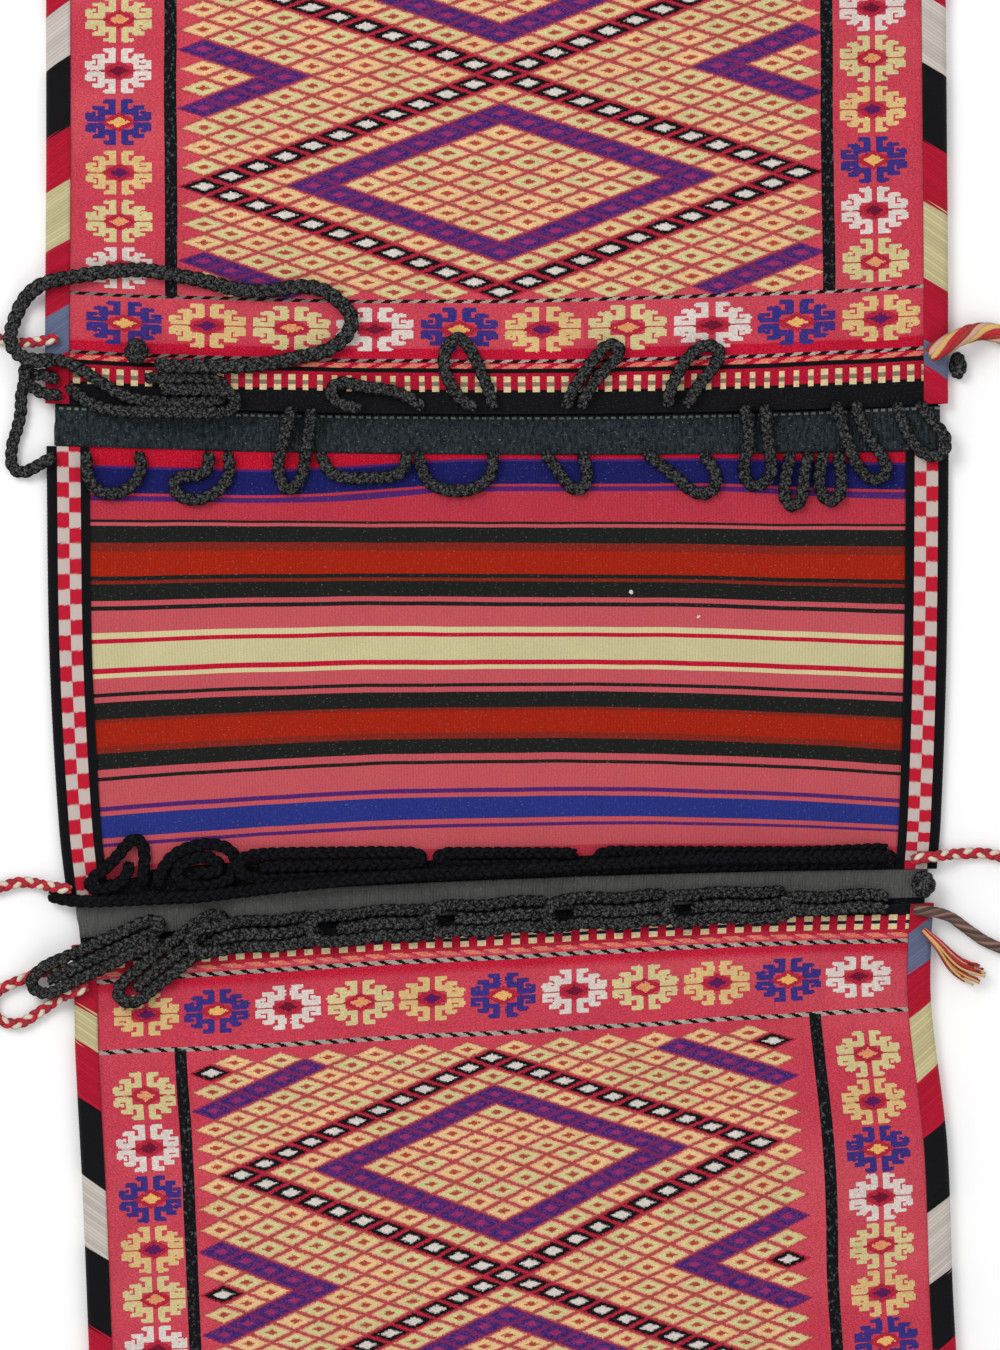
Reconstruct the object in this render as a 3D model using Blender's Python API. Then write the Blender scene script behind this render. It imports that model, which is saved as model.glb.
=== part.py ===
"""A kilim saddle bag: a long cloth with a front panel sewn on at each end makes two pouches.

It lies opened out on a flat surface, its long side along Y. Metres, +Z up. The origin is on the
surface, under the middle of the woven pieces.
"""

import math

import bpy
from mathutils import Vector

# Driving dimensions of the cloth
HALF_WIDTH = 0.2705  # across the bag, middle to the outside of the bindings
CLOTH = 0.0026  # thickness of the woven strip
POUCH_GAP = 0.0080  # room between front and back in the middle of a pouch
MOUTH_GAP = 0.0078  # the same at the mouth
FOLD_GAP = 0.0018  # the same inside the bottom fold
SIDE_GAP = 0.0006  # the same between the sewn sides
UPPER_MOUTH = 0.1530  # mouth edge of the upper front panel, from the bridge's middle
UPPER_DEPTH = 0.5150  # mouth to fold
LOWER_MOUTH = 0.1490
LOWER_DEPTH = 0.5270
RIB_AT = 0.1985  # middle of the raised black rib between field and side border
RIB_WIDTH = 0.0060
RIB_HEIGHT = 0.0012

# Side bindings, bridge edgings and slit bands
WALL = 0.0016  # thickness of a binding over the cloth
FIT = 0.0003  # air between pieces that touch
WRAP_WIDTH = 0.0150
EDGING_WIDTH = 0.0260
EDGE_ROLL = 0.0057  # solid overcast part outside the cloth's edge
LOWER_LEG = 0.0100  # how far a binding reaches in under the cloth
WRAP_END = 0.0080  # the bindings stop short of the fold
BAND = 0.0022  # thickness of a slit band
UPPER_BAND_WIDTH = 0.0232
LOWER_BAND_WIDTH = 0.0200
UPPER_BAND_BACK = 0.0006  # a band's edge, in from the mouth edge
LOWER_BAND_BACK = 0.0035

# Braids and cords
LOOP_BRAID = 0.0068  # diameter of a closure loop
LONG_BRAID = 0.0080
PLAIT = 0.0060
TASSEL_CORD = 0.0120
DARK_CORD = 0.0072
LYING = 0.0008  # a cord's air over what it lies on
CHAIN_LINKS = 6

RISE_START = 0.0500  # in from the outside, where the cloth begins to rise to its bindings
RISE_END = 0.0200
RISE = WALL + FIT
FLAT_HALF = 0.1700  # the pouch keeps its full gap this far from the middle
FOLD_RUN = 0.0900  # distance from the fold in which the pouch fills out
MOUTH_RUN = 0.0600
CLOTH_HALF = HALF_WIDTH - EDGE_ROLL - FIT

# How the handwoven strip lies: along it, its middle's sideways place, its half width there, how far
# a row slopes across it, and how far a row's ends run ahead of its middle
LIE = (
    (-0.680, 0.0280, 0.2620, 0.056, 0.0000),
    (-0.400, 0.0130, 0.2590, 0.060, 0.0000),
    (-0.300, 0.0090, 0.2590, 0.060, 0.0000),
    (-0.216, 0.0020, 0.2565, 0.052, 0.0000),
    (-0.171, 0.0015, 0.2570, 0.050, -0.0030),
    (-0.132, 0.0015, 0.2600, 0.042, -0.0035),
    (-0.078, 0.0000, 0.2645, 0.0125, -0.0120),
    (0.015, -0.0012, 0.2690, 0.000, -0.0060),
    (0.129, -0.0015, 0.2705, -0.005, 0.0040),
    (0.155, -0.0020, 0.2705, 0.000, 0.0066),
    (0.220, -0.0020, 0.2705, 0.007, 0.0080),
    (0.290, -0.0020, 0.2700, 0.0225, 0.0040),
    (0.400, -0.0025, 0.2695, 0.024, 0.0030),
    (0.680, -0.0040, 0.2680, 0.024, 0.0020),
)
LIE_WIDTH = 0.2705  # half width that the list was written for

# Colours
CRIMSON = (0.48, 0.035, 0.065)
BLACK = (0.008, 0.008, 0.010)
CHARCOAL = (0.035, 0.045, 0.042)
RED_WHITE = (0.42, 0.16, 0.13)
STRAW = (0.42, 0.20, 0.10)
BROWN = (0.07, 0.045, 0.035)


def clear_scene():
    for thing in list(bpy.data.objects):
        bpy.data.objects.remove(thing, do_unlink=True)


def wool(name, colour, roughness=0.9):
    material = bpy.data.materials.new(name)
    material.use_nodes = True
    shader = material.node_tree.nodes["Principled BSDF"]
    shader.inputs["Base Color"].default_value = (*colour, 1.0)
    shader.inputs["Roughness"].default_value = roughness
    shader.inputs["Metallic"].default_value = 0.0
    material.diffuse_color = (*colour, 1.0)
    return material


def smooth(low, high, value):
    share = min(max((value - low) / (high - low), 0.0), 1.0)
    return share * share * (3.0 - 2.0 * share)


def lie(t):
    """The rows of LIE, read as smooth curves at t along the strip."""
    t = min(max(t, LIE[0][0]), LIE[-1][0])
    k = max(i for i in range(len(LIE) - 1) if LIE[i][0] <= t)
    before, a, b, after = (LIE[min(max(i, 0), len(LIE) - 1)] for i in range(k - 1, k + 3))
    span = b[0] - a[0]
    u = (t - a[0]) / span
    values = []
    for column in range(1, 5):
        slope_a = (b[column] - before[column]) / (b[0] - before[0]) * span
        slope_b = (after[column] - a[column]) / (after[0] - a[0]) * span
        values.append(
            (2 * u**3 - 3 * u**2 + 1) * a[column]
            + (u**3 - 2 * u**2 + u) * slope_a
            + (3 * u**2 - 2 * u**3) * b[column]
            + (u**3 - u**2) * slope_b
        )
    return values


def lay_raw(s, t):
    """Where the point s across and t along the straight strip lies on the surface."""
    middle, half, slope, bow = lie(t)
    x = middle + s * half / LIE_WIDTH
    y = t + slope * s + bow * (s / LIE_WIDTH) ** 2
    return x, y


UPPER_FOLD = UPPER_MOUTH + UPPER_DEPTH
LOWER_FOLD = LOWER_MOUTH + LOWER_DEPTH


def outline_middle():
    edge = []
    for i in range(201):
        t = -LOWER_FOLD + (UPPER_FOLD + LOWER_FOLD) * i / 200
        edge += [lay_raw(side * HALF_WIDTH, t) for side in (-1, 1)]
    for t in (-LOWER_FOLD, UPPER_FOLD):
        edge += [lay_raw(HALF_WIDTH * i / 20, t) for i in range(-20, 21)]
    xs = [x for x, _ in edge]
    ys = [y for _, y in edge]
    return (min(xs) + max(xs)) / 2, (min(ys) + max(ys)) / 2


MIDDLE_X, MIDDLE_Y = outline_middle()


def lay(s, t):
    x, y = lay_raw(s, t)
    return x - MIDDLE_X, y - MIDDLE_Y


def unlay(x, y):
    """The place on the straight strip of a point on the surface."""
    s, t = x, y
    for _ in range(6):
        laid_x, laid_y = lay(s, t)
        s += x - laid_x
        t += y - laid_y
    return s, t


def rise(s):
    return RISE * smooth(HALF_WIDTH - RISE_START, HALF_WIDTH - RISE_END, abs(s))


def pouch(t):
    """Mouth and fold distance of the pouch on t's side of the bridge."""
    return (UPPER_MOUTH, UPPER_FOLD) if t > 0 else (LOWER_MOUTH, LOWER_FOLD)


def gap(s, t):
    mouth, fold = pouch(t)
    along = abs(t)
    full = MOUTH_GAP + (POUCH_GAP - MOUTH_GAP) * smooth(mouth, mouth + MOUTH_RUN, along)
    full = FOLD_GAP + (full - FOLD_GAP) * smooth(0.0, FOLD_RUN, fold - along)
    return full + (SIDE_GAP - full) * smooth(FLAT_HALF, HALF_WIDTH - RISE_END, abs(s))


def rib(s):
    off = abs(abs(s) - RIB_AT)
    return RIB_HEIGHT * (1.0 - smooth(0.35, 0.5, off / RIB_WIDTH))


def front_top(s, t):
    return rise(s) + 2 * CLOTH + gap(s, t)


def band_span(t):
    """Inner and outer distance of the slit band on t's side."""
    mouth, _ = pouch(t)
    width = UPPER_BAND_WIDTH if t > 0 else LOWER_BAND_WIDTH
    outer = mouth - (UPPER_BAND_BACK if t > 0 else LOWER_BAND_BACK)
    return outer - width, outer


EDGING_TOP = WALL + 2 * FIT + CLOTH + WALL
WRAP_TOP = WALL + 2 * FIT + 2 * CLOTH + SIDE_GAP + WALL


def ground(x, y):
    """Height of what a cord can lie on at a point: the surface, the bag, or its trim."""
    s, t = unlay(x, y)
    mouth, fold = pouch(t)
    off = abs(s)
    if off > HALF_WIDTH or abs(t) > fold:
        return 0.0
    if abs(t) >= mouth:
        top = front_top(s, t) + rib(s)
        return max(top, WRAP_TOP) if off > HALF_WIDTH - WRAP_WIDTH else top
    inner, outer = band_span(t)
    if inner <= abs(t) <= outer:
        return rise(s) + CLOTH + FIT + BAND
    if off > HALF_WIDTH - EDGING_WIDTH and abs(t) < inner:
        return EDGING_TOP
    return rise(s) + CLOTH


def add_mesh(name, points, faces, material, soft=True):
    mesh = bpy.data.meshes.new(name)
    mesh.from_pydata(points, [], faces)
    mesh.materials.append(material)
    mesh.validate()
    if soft:
        mesh.shade_smooth()
        mesh.set_sharp_from_angle(angle=math.radians(45))
    thing = bpy.data.objects.new(name, mesh)
    bpy.context.collection.objects.link(thing)
    return thing


def strip_columns():
    """Places across the strip: close together where it rises, at the ribs and at the sides."""
    half_rib = RIB_WIDTH / 2
    right = [
        HALF_WIDTH * 0.33,
        FLAT_HALF,
        RIB_AT - half_rib,
        RIB_AT - 0.7 * half_rib,
        RIB_AT + 0.7 * half_rib,
        RIB_AT + half_rib,
        HALF_WIDTH - RISE_START + 0.002,
        HALF_WIDTH - 0.6 * RISE_START,
        HALF_WIDTH - RISE_END,
        CLOTH_HALF,
    ]
    return [-s for s in reversed(right)] + [0.0] + right


def places(start, end, longest):
    count = math.ceil((end - start) / longest)
    return [start + (end - start) * k / count for k in range(count + 1)]


def pouch_rows(sign):
    """Distances of the rows of a pouch from mouth to fold, close together where it curves."""
    mouth, fold = pouch(sign)
    turn = fold - CLOTH - FOLD_GAP / 2  # where the front begins to fold
    shares = (0.0, 0.04, 0.08, 0.12, 0.17, 0.28, 0.45, 0.65, 0.80, 0.90, 1.0)
    return [mouth + (turn - mouth) * share for share in shares]


def bridge_rows():
    return places(-LOWER_MOUTH, UPPER_MOUTH, 0.022)


def fold_turn(s, sign, turned):
    """Outer and inner points of a bottom fold, turned this far up from the seam in its middle."""
    turn = pouch_rows(sign)[-1]
    half = gap(s, sign * turn) / 2
    centre = rise(s) + CLOTH + half
    outward, up = math.cos(turned), math.sin(turned)
    outer = (sign * (turn + (half + CLOTH) * outward), centre + (half + CLOTH) * up)
    inner = (sign * (turn + half * outward), centre + half * up)
    return outer, inner


def seam_points(s, sign, side):
    """The fold's seam: where a front panel ends (side 1) and where the long cloth does (side -1)."""
    (outer_t, outer_z), (inner_t, inner_z) = fold_turn(s, sign, 0.0)
    return (outer_t, outer_z + side * FIT / 2), (inner_t, inner_z + side * FIT / 2)


def front_path(s, sign):
    """One column of a front panel, from its mouth to the seam: pairs of outer and inner (t, z)."""
    pairs = []
    for t in pouch_rows(sign):
        under = rise(s) + CLOTH + gap(s, sign * t)
        pairs.append(((sign * t, under + CLOTH + rib(s)), (sign * t, under)))
    return pairs + [fold_turn(s, sign, math.pi / 4), seam_points(s, sign, 1)]


def long_path(s):
    """One column of the long cloth, from seam to seam: the upper back, the bridge, the lower back."""
    low = rise(s)
    halves = []
    for sign in (1, -1):
        back = [((sign * t, low), (sign * t, low + CLOTH)) for t in reversed(pouch_rows(sign))]
        halves.append([seam_points(s, sign, -1), fold_turn(s, sign, -math.pi / 4)] + back)
    upper, lower = halves
    bridge = [((t, low), (t, low + CLOTH)) for t in reversed(bridge_rows()[1:-1])]
    return upper + bridge + list(reversed(lower))


def make_cloth(name, path, material):
    """A closed cloth from one path of (outer, inner) pairs in each column; outer is on the outside."""
    columns = strip_columns()
    points, faces = [], []
    for s in columns:
        for pair in path(s):
            for t, z in pair:
                points.append((*lay(s, t), z))
    length = len(path(0.0))

    def at(column, step, inside):
        return (column * length + step) * 2 + inside

    last = len(columns) - 1
    for c in range(last):
        for k in range(length - 1):
            outer = (at(c, k, 0), at(c + 1, k, 0), at(c + 1, k + 1, 0), at(c, k + 1, 0))
            inner = (at(c, k, 1), at(c, k + 1, 1), at(c + 1, k + 1, 1), at(c + 1, k, 1))
            faces += [outer, inner]
        start, end = 0, length - 1
        faces.append((at(c, start, 0), at(c, start, 1), at(c + 1, start, 1), at(c + 1, start, 0)))
        faces.append((at(c, end, 0), at(c + 1, end, 0), at(c + 1, end, 1), at(c, end, 1)))
    for k in range(length - 1):
        left = (at(0, k, 0), at(0, k + 1, 0), at(0, k + 1, 1), at(0, k, 1))
        right = (at(last, k, 0), at(last, k, 1), at(last, k + 1, 1), at(last, k + 1, 0))
        faces += [left, right]
    if points[at(0, 0, 0)][1] < 0.0:
        faces = [tuple(reversed(face)) for face in faces]
    return add_mesh(name, points, faces, material)


def make_cloths(material):
    make_cloth("front_panel_upper", lambda s: front_path(s, 1), material)
    make_cloth("front_panel_lower", lambda s: front_path(s, -1), material)
    make_cloth("backs_and_bridge", long_path, material)


def sweep(name, outline, ts, material):
    """A closed bar: the (s, z) outline carried along the strip through the places ts."""
    count = len(outline)
    points = [(*lay(s, t), z) for t in ts for s, z in outline]
    faces = []
    for k in range(len(ts) - 1):
        for i in range(count):
            j = (i + 1) % count
            faces.append((k * count + i, k * count + j, (k + 1) * count + j, (k + 1) * count + i))
    top = (len(ts) - 1) * count
    faces.append(tuple(reversed(range(count))))
    faces.append(tuple(top + i for i in range(count)))
    return add_mesh(name, points, faces, material)


def binding_outline(side, slot_top, reach):
    """A rounded channel that grips the cloth's edge; anticlockwise seen along +t."""
    outside = HALF_WIDTH
    top = slot_top + WALL
    bevel = WALL
    bar = [
        (outside - LOWER_LEG, 0.0),
        (outside - 1.5 * bevel, 0.0),
        (outside - 0.4 * bevel, 0.6 * bevel),
        (outside, 1.7 * bevel),
        (outside, top - 1.7 * bevel),
        (outside - 0.4 * bevel, top - 0.6 * bevel),
        (outside - 1.5 * bevel, top),
        (outside - reach, top),
        (outside - reach, slot_top),
        (outside - EDGE_ROLL, slot_top),
        (outside - EDGE_ROLL, WALL),
        (outside - LOWER_LEG, WALL),
    ]
    if side > 0:
        return [(s, z) for s, z in reversed(bar)]
    return [(-s, z) for s, z in bar]


def make_bindings(wrap_material, edging_material):
    wrap_slot = WALL + 2 * FIT + 2 * CLOTH + SIDE_GAP
    edging_slot = WALL + 2 * FIT + CLOTH
    for row, sign in (("upper", 1), ("lower", -1)):
        mouth, fold = pouch(sign)
        start, end = mouth + FIT, fold - WRAP_END
        inside = [t for t in pouch_rows(sign) if start < t < end]
        ts = sorted(sign * t for t in [start, *inside, end])
        for column, side in (("left", -1), ("right", 1)):
            outline = binding_outline(side, wrap_slot, WRAP_WIDTH)
            sweep(f"wrap_{row}_{column}", outline, ts, wrap_material)
    lower_end = -band_span(-1)[0] + FIT
    upper_end = band_span(1)[0] - FIT
    inside = [t for t in bridge_rows() if lower_end < t < upper_end]
    for column, side in (("left", -1), ("right", 1)):
        outline = binding_outline(side, edging_slot, EDGING_WIDTH)
        sweep(f"edging_{column}", outline, [lower_end, *inside, upper_end], edging_material)


def make_slit_band(row, sign, material):
    """A flat band across the strip, just in front of the mouth, that follows the cloth's rise."""
    columns = strip_columns()
    inner, outer = band_span(sign)
    t_low, t_high = sorted((sign * inner, sign * outer))
    hem = (t_high - t_low) * 0.12
    ring = (
        (t_low, 0.0),
        (t_high, 0.0),
        (t_high, 0.8 * BAND),
        (t_high - hem, BAND),
        (t_low + hem, BAND),
        (t_low, 0.8 * BAND),
    )
    points, faces = [], []
    for s in columns:
        base = rise(s) + CLOTH + FIT
        points += [(*lay(s, t), base + z) for t, z in ring]
    count = len(ring)
    for c in range(len(columns) - 1):
        for i in range(count):
            j = (i + 1) % count
            faces.append((c * count + i, c * count + j, (c + 1) * count + j, (c + 1) * count + i))
    top = (len(columns) - 1) * count
    faces.append(tuple(reversed(range(count))))
    faces.append(tuple(top + i for i in range(count)))
    return add_mesh(f"slit_band_{row}", points, faces, material)


# Routes of the cords, seen from above, in millimetres from the bridge's middle
ROUTES = {
    "long_cord": (
        LONG_BRAID,
        [(-267, 184), (-282, 185), (-291, 192), (-293, 201), (-290, 212), (-284, 223), (-272, 231),
         (-254, 235), (-234, 238), (-215, 239), (-196, 236), (-176, 232), (-157, 227), (-137, 226),
         (-119, 229), (-104, 226), (-94, 218), (-88, 210), (-91, 200), (-102, 191), (-118, 187),
         (-137, 183), (-157, 181), (-176, 181), (-194, 181), (-206, 183)],
    ),
    "side_loop": (
        LOOP_BRAID,
        [(-264, 173), (-275, 177), (-284, 174), (-287, 164), (-287, 155), (-289, 145), (-292, 136),
         (-293, 127), (-292, 120), (-286, 118), (-277, 122), (-266, 128)],
    ),
    "pile_run": (
        LOOP_BRAID,
        [(-262, 164), (-275, 166), (-285, 175), (-280, 184), (-266, 185.5), (-253, 181), (-241, 173.5),
         (-229, 166), (-215, 161), (-198, 159.5), (-182, 159.5), (-170, 160.5), (-163.5, 164),
         (-164, 170), (-171, 173.5), (-184, 174.3), (-200, 174.3), (-212, 174.5)],
    ),
    "pile_loop": (
        LOOP_BRAID,
        [(-258, 170), (-250, 162.5), (-238, 156.5), (-222, 154.3), (-200, 153.5), (-180, 153.3), (-166, 153.5),
         (-158, 156.5), (-157, 162), (-163, 166.3), (-176, 167), (-190, 167), (-202, 167.3)],
    ),
    "front_loop_1": (
        LOOP_BRAID,
        [(-46, 156), (-53, 162), (-66, 167), (-82, 169), (-95, 172), (-102, 166), (-96, 159),
         (-83, 156)],
    ),
    "front_loop_2": (
        LOOP_BRAID,
        [(-14, 156), (-23, 161), (-31, 173), (-34, 185), (-30, 195), (-24, 199), (-17, 190),
         (-11, 177), (-6, 165), (-4, 156)],
    ),
    "front_loop_3": (
        LOOP_BRAID,
        [(39, 156), (43, 166), (50, 177), (58, 188), (64, 194), (70.5, 194), (71.5, 188.5), (65.5, 182),
         (56.5, 172), (50.5, 162), (48, 156)],
    ),
    "front_loop_4": (
        LOOP_BRAID,
        [(100, 157), (102, 168), (109, 182), (118, 192), (127, 194), (132, 188), (126, 179),
         (118, 169), (111, 157)],
    ),
    "bridge_loop_01": (
        LOOP_BRAID,
        [(-216, 130.5), (-215, 118), (-222, 109), (-233, 105), (-243, 109), (-247, 118), (-247, 130.5)],
    ),
    "bridge_loop_02": (
        LOOP_BRAID,
        [(-163, 130.5), (-162, 117), (-168, 108), (-179, 102), (-190, 103), (-196, 109), (-192, 116),
         (-182, 116), (-175, 120), (-174, 130.5)],
    ),
    "bridge_loop_03": (
        LOOP_BRAID,
        [(-124, 157), (-130, 136), (-133, 120), (-127, 107), (-119, 115), (-116, 132), (-112, 156)],
    ),
    "bridge_loop_04": (
        LOOP_BRAID,
        [(-108, 130.5), (-102, 118), (-92, 115), (-77, 115), (-64, 116), (-57, 120), (-56, 130.5)],
    ),
    "bridge_loop_05": (
        LOOP_BRAID,
        [(-49, 130.5), (-45, 115), (-37, 109), (-24, 107), (-12, 110), (-5, 118), (-4, 130.5)],
    ),
    "bridge_loop_06": (
        LOOP_BRAID,
        [(26, 130.5), (34, 120), (39, 113), (45, 107), (52, 111), (52, 119), (49, 130.5)],
    ),
    "bridge_loop_07": (
        LOOP_BRAID,
        [(86, 130.5), (100, 120), (108, 113), (115, 107), (124, 105), (130, 112), (128, 120),
         (121, 130.5)],
    ),
    "bridge_loop_08": (
        LOOP_BRAID,
        [(146, 158), (149, 138), (146, 123), (147, 113), (154, 110), (163, 117), (161, 131),
         (158, 158)],
    ),
    "bridge_loop_09": (
        LOOP_BRAID,
        [(174, 130.5), (171, 114), (170, 104), (175, 97), (181, 103), (182, 115), (185, 130.5)],
    ),
    "bridge_loop_10": (
        LOOP_BRAID,
        [(194, 130.5), (191, 116), (192, 106), (198, 100), (204, 106), (204, 117), (202, 130.5)],
    ),
    "bridge_loop_11": (
        LOOP_BRAID,
        [(200, 160), (206, 142), (211, 128), (217, 118), (225, 113), (232, 119), (228, 129),
         (219, 141), (212, 160)],
    ),
    "bridge_loop_12": (
        LOOP_BRAID,
        [(237, 160), (242, 144), (248, 134), (258, 127), (266, 131), (266, 140), (259, 148),
         (250, 160)],
    ),
    "hump_loop_1": (
        LOOP_BRAID,
        [(-214, -129), (-213, -117), (-213, -106), (-218, -100.5), (-224, -105), (-230, -113), (-239, -121),
         (-246, -127), (-244, -131.5), (-234, -130.5), (-224, -124.5), (-221.5, -115)],
    ),
    "hump_loop_2": (
        LOOP_BRAID,
        [(-206, -130), (-202, -119), (-194, -110), (-182, -105), (-169, -104.5), (-160, -109), (-158, -117),
         (-162, -125), (-172, -129.5), (-184, -129.5), (-193, -126), (-193, -118.5), (-185, -113),
         (-174, -112), (-167, -117), (-172, -121.5), (-183, -120.5)],
    ),
    "roll_loop_1": (
        LOOP_BRAID,
        [(-44, -123), (-62, -123.6), (-90, -124), (-120, -124.8), (-140, -125.6), (-153, -123), (-157, -117),
         (-152, -111.5), (-138, -110), (-114, -109.6), (-84, -109.2), (-60, -109.2), (-49, -110),
         (-45.5, -113), (-49, -116), (-62, -116.4), (-90, -116.8), (-120, -117.3), (-144, -118)],
    ),
    "roll_loop_2": (
        LOOP_BRAID,
        [(36, -116.5), (6, -117), (-24, -117.2), (-34, -116.8), (-39, -113.3), (-34, -109.8), (-22, -109.6),
         (6, -109.6), (34, -109.8), (46, -110)],
    ),
    "roll_loop_3": (
        LOOP_BRAID,
        [(228, -115), (180, -116), (132, -117), (84, -118), (64, -119), (56, -114), (64, -109),
         (84, -109), (132, -109), (180, -109), (210, -108), (232, -107)],
    ),
    "roll_run": (
        LOOP_BRAID,
        [(-270, -135), (-255, -138), (-234, -138), (-210, -137), (-180, -135.5), (-150, -132), (-120, -128.5),
         (-90, -125.5), (-60, -123), (-20, -120.5), (30, -118), (80, -115), (120, -113), (180, -112),
         (236, -111)],
    ),
    "big_loop_1": (
        LOOP_BRAID,
        [(-203, -161), (-221, -170), (-239, -179), (-257, -187), (-268, -193), (-277, -193), (-281, -187),
         (-275, -179), (-263, -173), (-245, -165), (-228, -157.5), (-214, -151), (-205, -149.5),
         (-202, -153.5), (-208, -157.5), (-220, -162.5), (-237, -170), (-251, -176), (-264, -183)],
    ),
    "big_loop_2": (
        LOOP_BRAID,
        [(-166, -158.5), (-181, -170), (-195, -181), (-208, -191), (-216, -198), (-224, -199), (-229, -193),
         (-225, -186), (-217, -179), (-205, -169), (-194, -161), (-182, -151.5), (-173, -146.5),
         (-166, -146.5), (-164.5, -151.5), (-171, -154), (-180, -160), (-197, -173), (-206, -180),
         (-213, -186)],
    ),
    "plait_upper_left": (
        PLAIT,
        [(-264, 198), (-279, 196), (-290, 196), (-299, 198), (-312, 202), (-326, 199), (-336, 194)],
    ),
    "cord_upper_right": (
        TASSEL_CORD,
        [(256, 188), (268, 195), (280, 201), (291, 203), (302, 200), (316, 194), (330, 192),
         (344, 194)],
    ),
    "cord_lower_left": (
        PLAIT,
        [(-256, -131), (-272, -129), (-286, -127), (-299, -130), (-312, -134), (-325, -135),
         (-336, -131)],
    ),
    "plait_lower_left": (
        PLAIT,
        [(-246, -189), (-263, -196), (-276, -205), (-288, -212), (-300, -210), (-305, -202),
         (-302, -193), (-290, -187), (-277, -182), (-258, -176)],
    ),
    "plait_lower_right": (
        PLAIT,
        [(246, -113.5), (264, -111), (278, -110), (292, -110), (305, -113), (318, -116), (332, -115)],
    ),
    "cord_lower_right": (
        DARK_CORD,
        [(247, -143), (266, -146), (277, -153), (288, -161), (301, -167), (316, -169), (331, -167)],
    ),
}
ROUTE_STEP = 0.002
SLOPE = 0.8  # steepest way down for a cord that crosses an edge
CHORD = 0.0007  # how far a cord's straight pieces may cut its bends

# The chain of loops that closes the lower mouth: its left end, right end and how it lies between them
CHAIN_LEFT = (-185.0, -161.0)
CHAIN_RIGHT = (238.0, -138.0)
CHAIN_SAG = 4.0
CHAIN_REACH = 1.12  # how far a loop reaches, in steps from one loop to the next
CHAIN_RUN = 7.4  # from one run of a loop to the next
CHAIN_WAVE = 0.9  # how far the runs stray up and down
CHAIN_STRAY = 6.5


def chain_route(link):
    """One loop of the chain, folded in three runs; its round end lies over the one before."""
    pitch = (CHAIN_RIGHT[0] - CHAIN_LEFT[0]) / CHAIN_LINKS
    start = CHAIN_LEFT[0] + pitch * link
    last = link == CHAIN_LINKS - 1
    end = CHAIN_RIGHT[0] if last else start + CHAIN_REACH * pitch
    outer = 0.5 if last else 1.0

    def row(x, run):
        share = (x - CHAIN_LEFT[0]) / (CHAIN_RIGHT[0] - CHAIN_LEFT[0])
        middle = CHAIN_LEFT[1] + (CHAIN_RIGHT[1] - CHAIN_LEFT[1]) * share
        middle += CHAIN_SAG * math.sin(math.pi * share) + CHAIN_WAVE * math.sin(x / CHAIN_STRAY)
        return (x, middle + run * CHAIN_RUN)

    body = [start + 6 + (end - start - 12) * k / 6 for k in range(7)]
    route = [row(x, outer) for x in reversed(body)] + [row(start, 0)] + [row(x, -outer) for x in body]
    if last:
        return route
    return route + [row(end - 1, -0.5)] + [row(x, 0) for x in reversed(body[1:])]


def smooth_route(route):
    """Points every ROUTE_STEP along a smooth curve through the route's own points, in metres."""
    points = [Vector((x / 1000 - MIDDLE_X, y / 1000 - MIDDLE_Y)) for x, y in route]
    points = [2 * points[0] - points[1]] + points + [2 * points[-1] - points[-2]]
    fine = []
    for a, b, c, d in zip(points, points[1:], points[2:], points[3:]):
        for k in range(12):
            u = k / 12
            place = 2 * b + (c - a) * u + (2 * a - 5 * b + 4 * c - d) * u**2
            place += (3 * b - a - 3 * c + d) * u**3
            fine.append(place / 2)
    fine.append(points[-2])
    even = [fine[0]]
    run = 0.0
    for a, b in zip(fine, fine[1:]):
        run += (b - a).length
        if run >= ROUTE_STEP:
            even.append(b)
            run = 0.0
    even[-1] = fine[-1]
    return even


def rest_heights(flat, radius, laid):
    """Heights of a cord's middle where it lies on the bag, the surface and the cords before it."""
    heights = []
    for place in flat:
        top = ground(place.x, place.y)
        for k in range(12):
            turn = math.pi * k / 6
            aside = Vector((radius * math.cos(turn), radius * math.sin(turn)))
            top = max(top, ground(*(place + aside)))
        height = top + radius + LYING
        for x, y, z, other in laid:
            apart = (radius + other + LYING) ** 2 - (place.x - x) ** 2 - (place.y - y) ** 2
            if apart > 0:
                height = max(height, z + math.sqrt(apart))
        heights.append(height)
    for order in (range(1, len(flat)), range(len(flat) - 2, -1, -1)):
        for i in order:
            near = i - 1 if order.step > 0 else i + 1
            drop = SLOPE * (flat[i] - flat[near]).length
            heights[i] = max(heights[i], heights[near] - drop)
    return heights


def thin_out(line, longest):
    """The points of a line that a few straight pieces need to follow it within CHORD."""
    keep = [0]
    while keep[-1] < len(line) - 1:
        start = keep[-1]
        end = start + 1
        while end + 1 < len(line) and (line[end + 1] - line[start]).length < longest:
            a, b = line[start], line[end + 1]
            along = (b - a).normalized()
            off = [((p - a) - along * (p - a).dot(along)).length for p in line[start + 1 : end + 1]]
            if max(off) > CHORD:
                break
            end += 1
        keep.append(end)
    return keep


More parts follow.
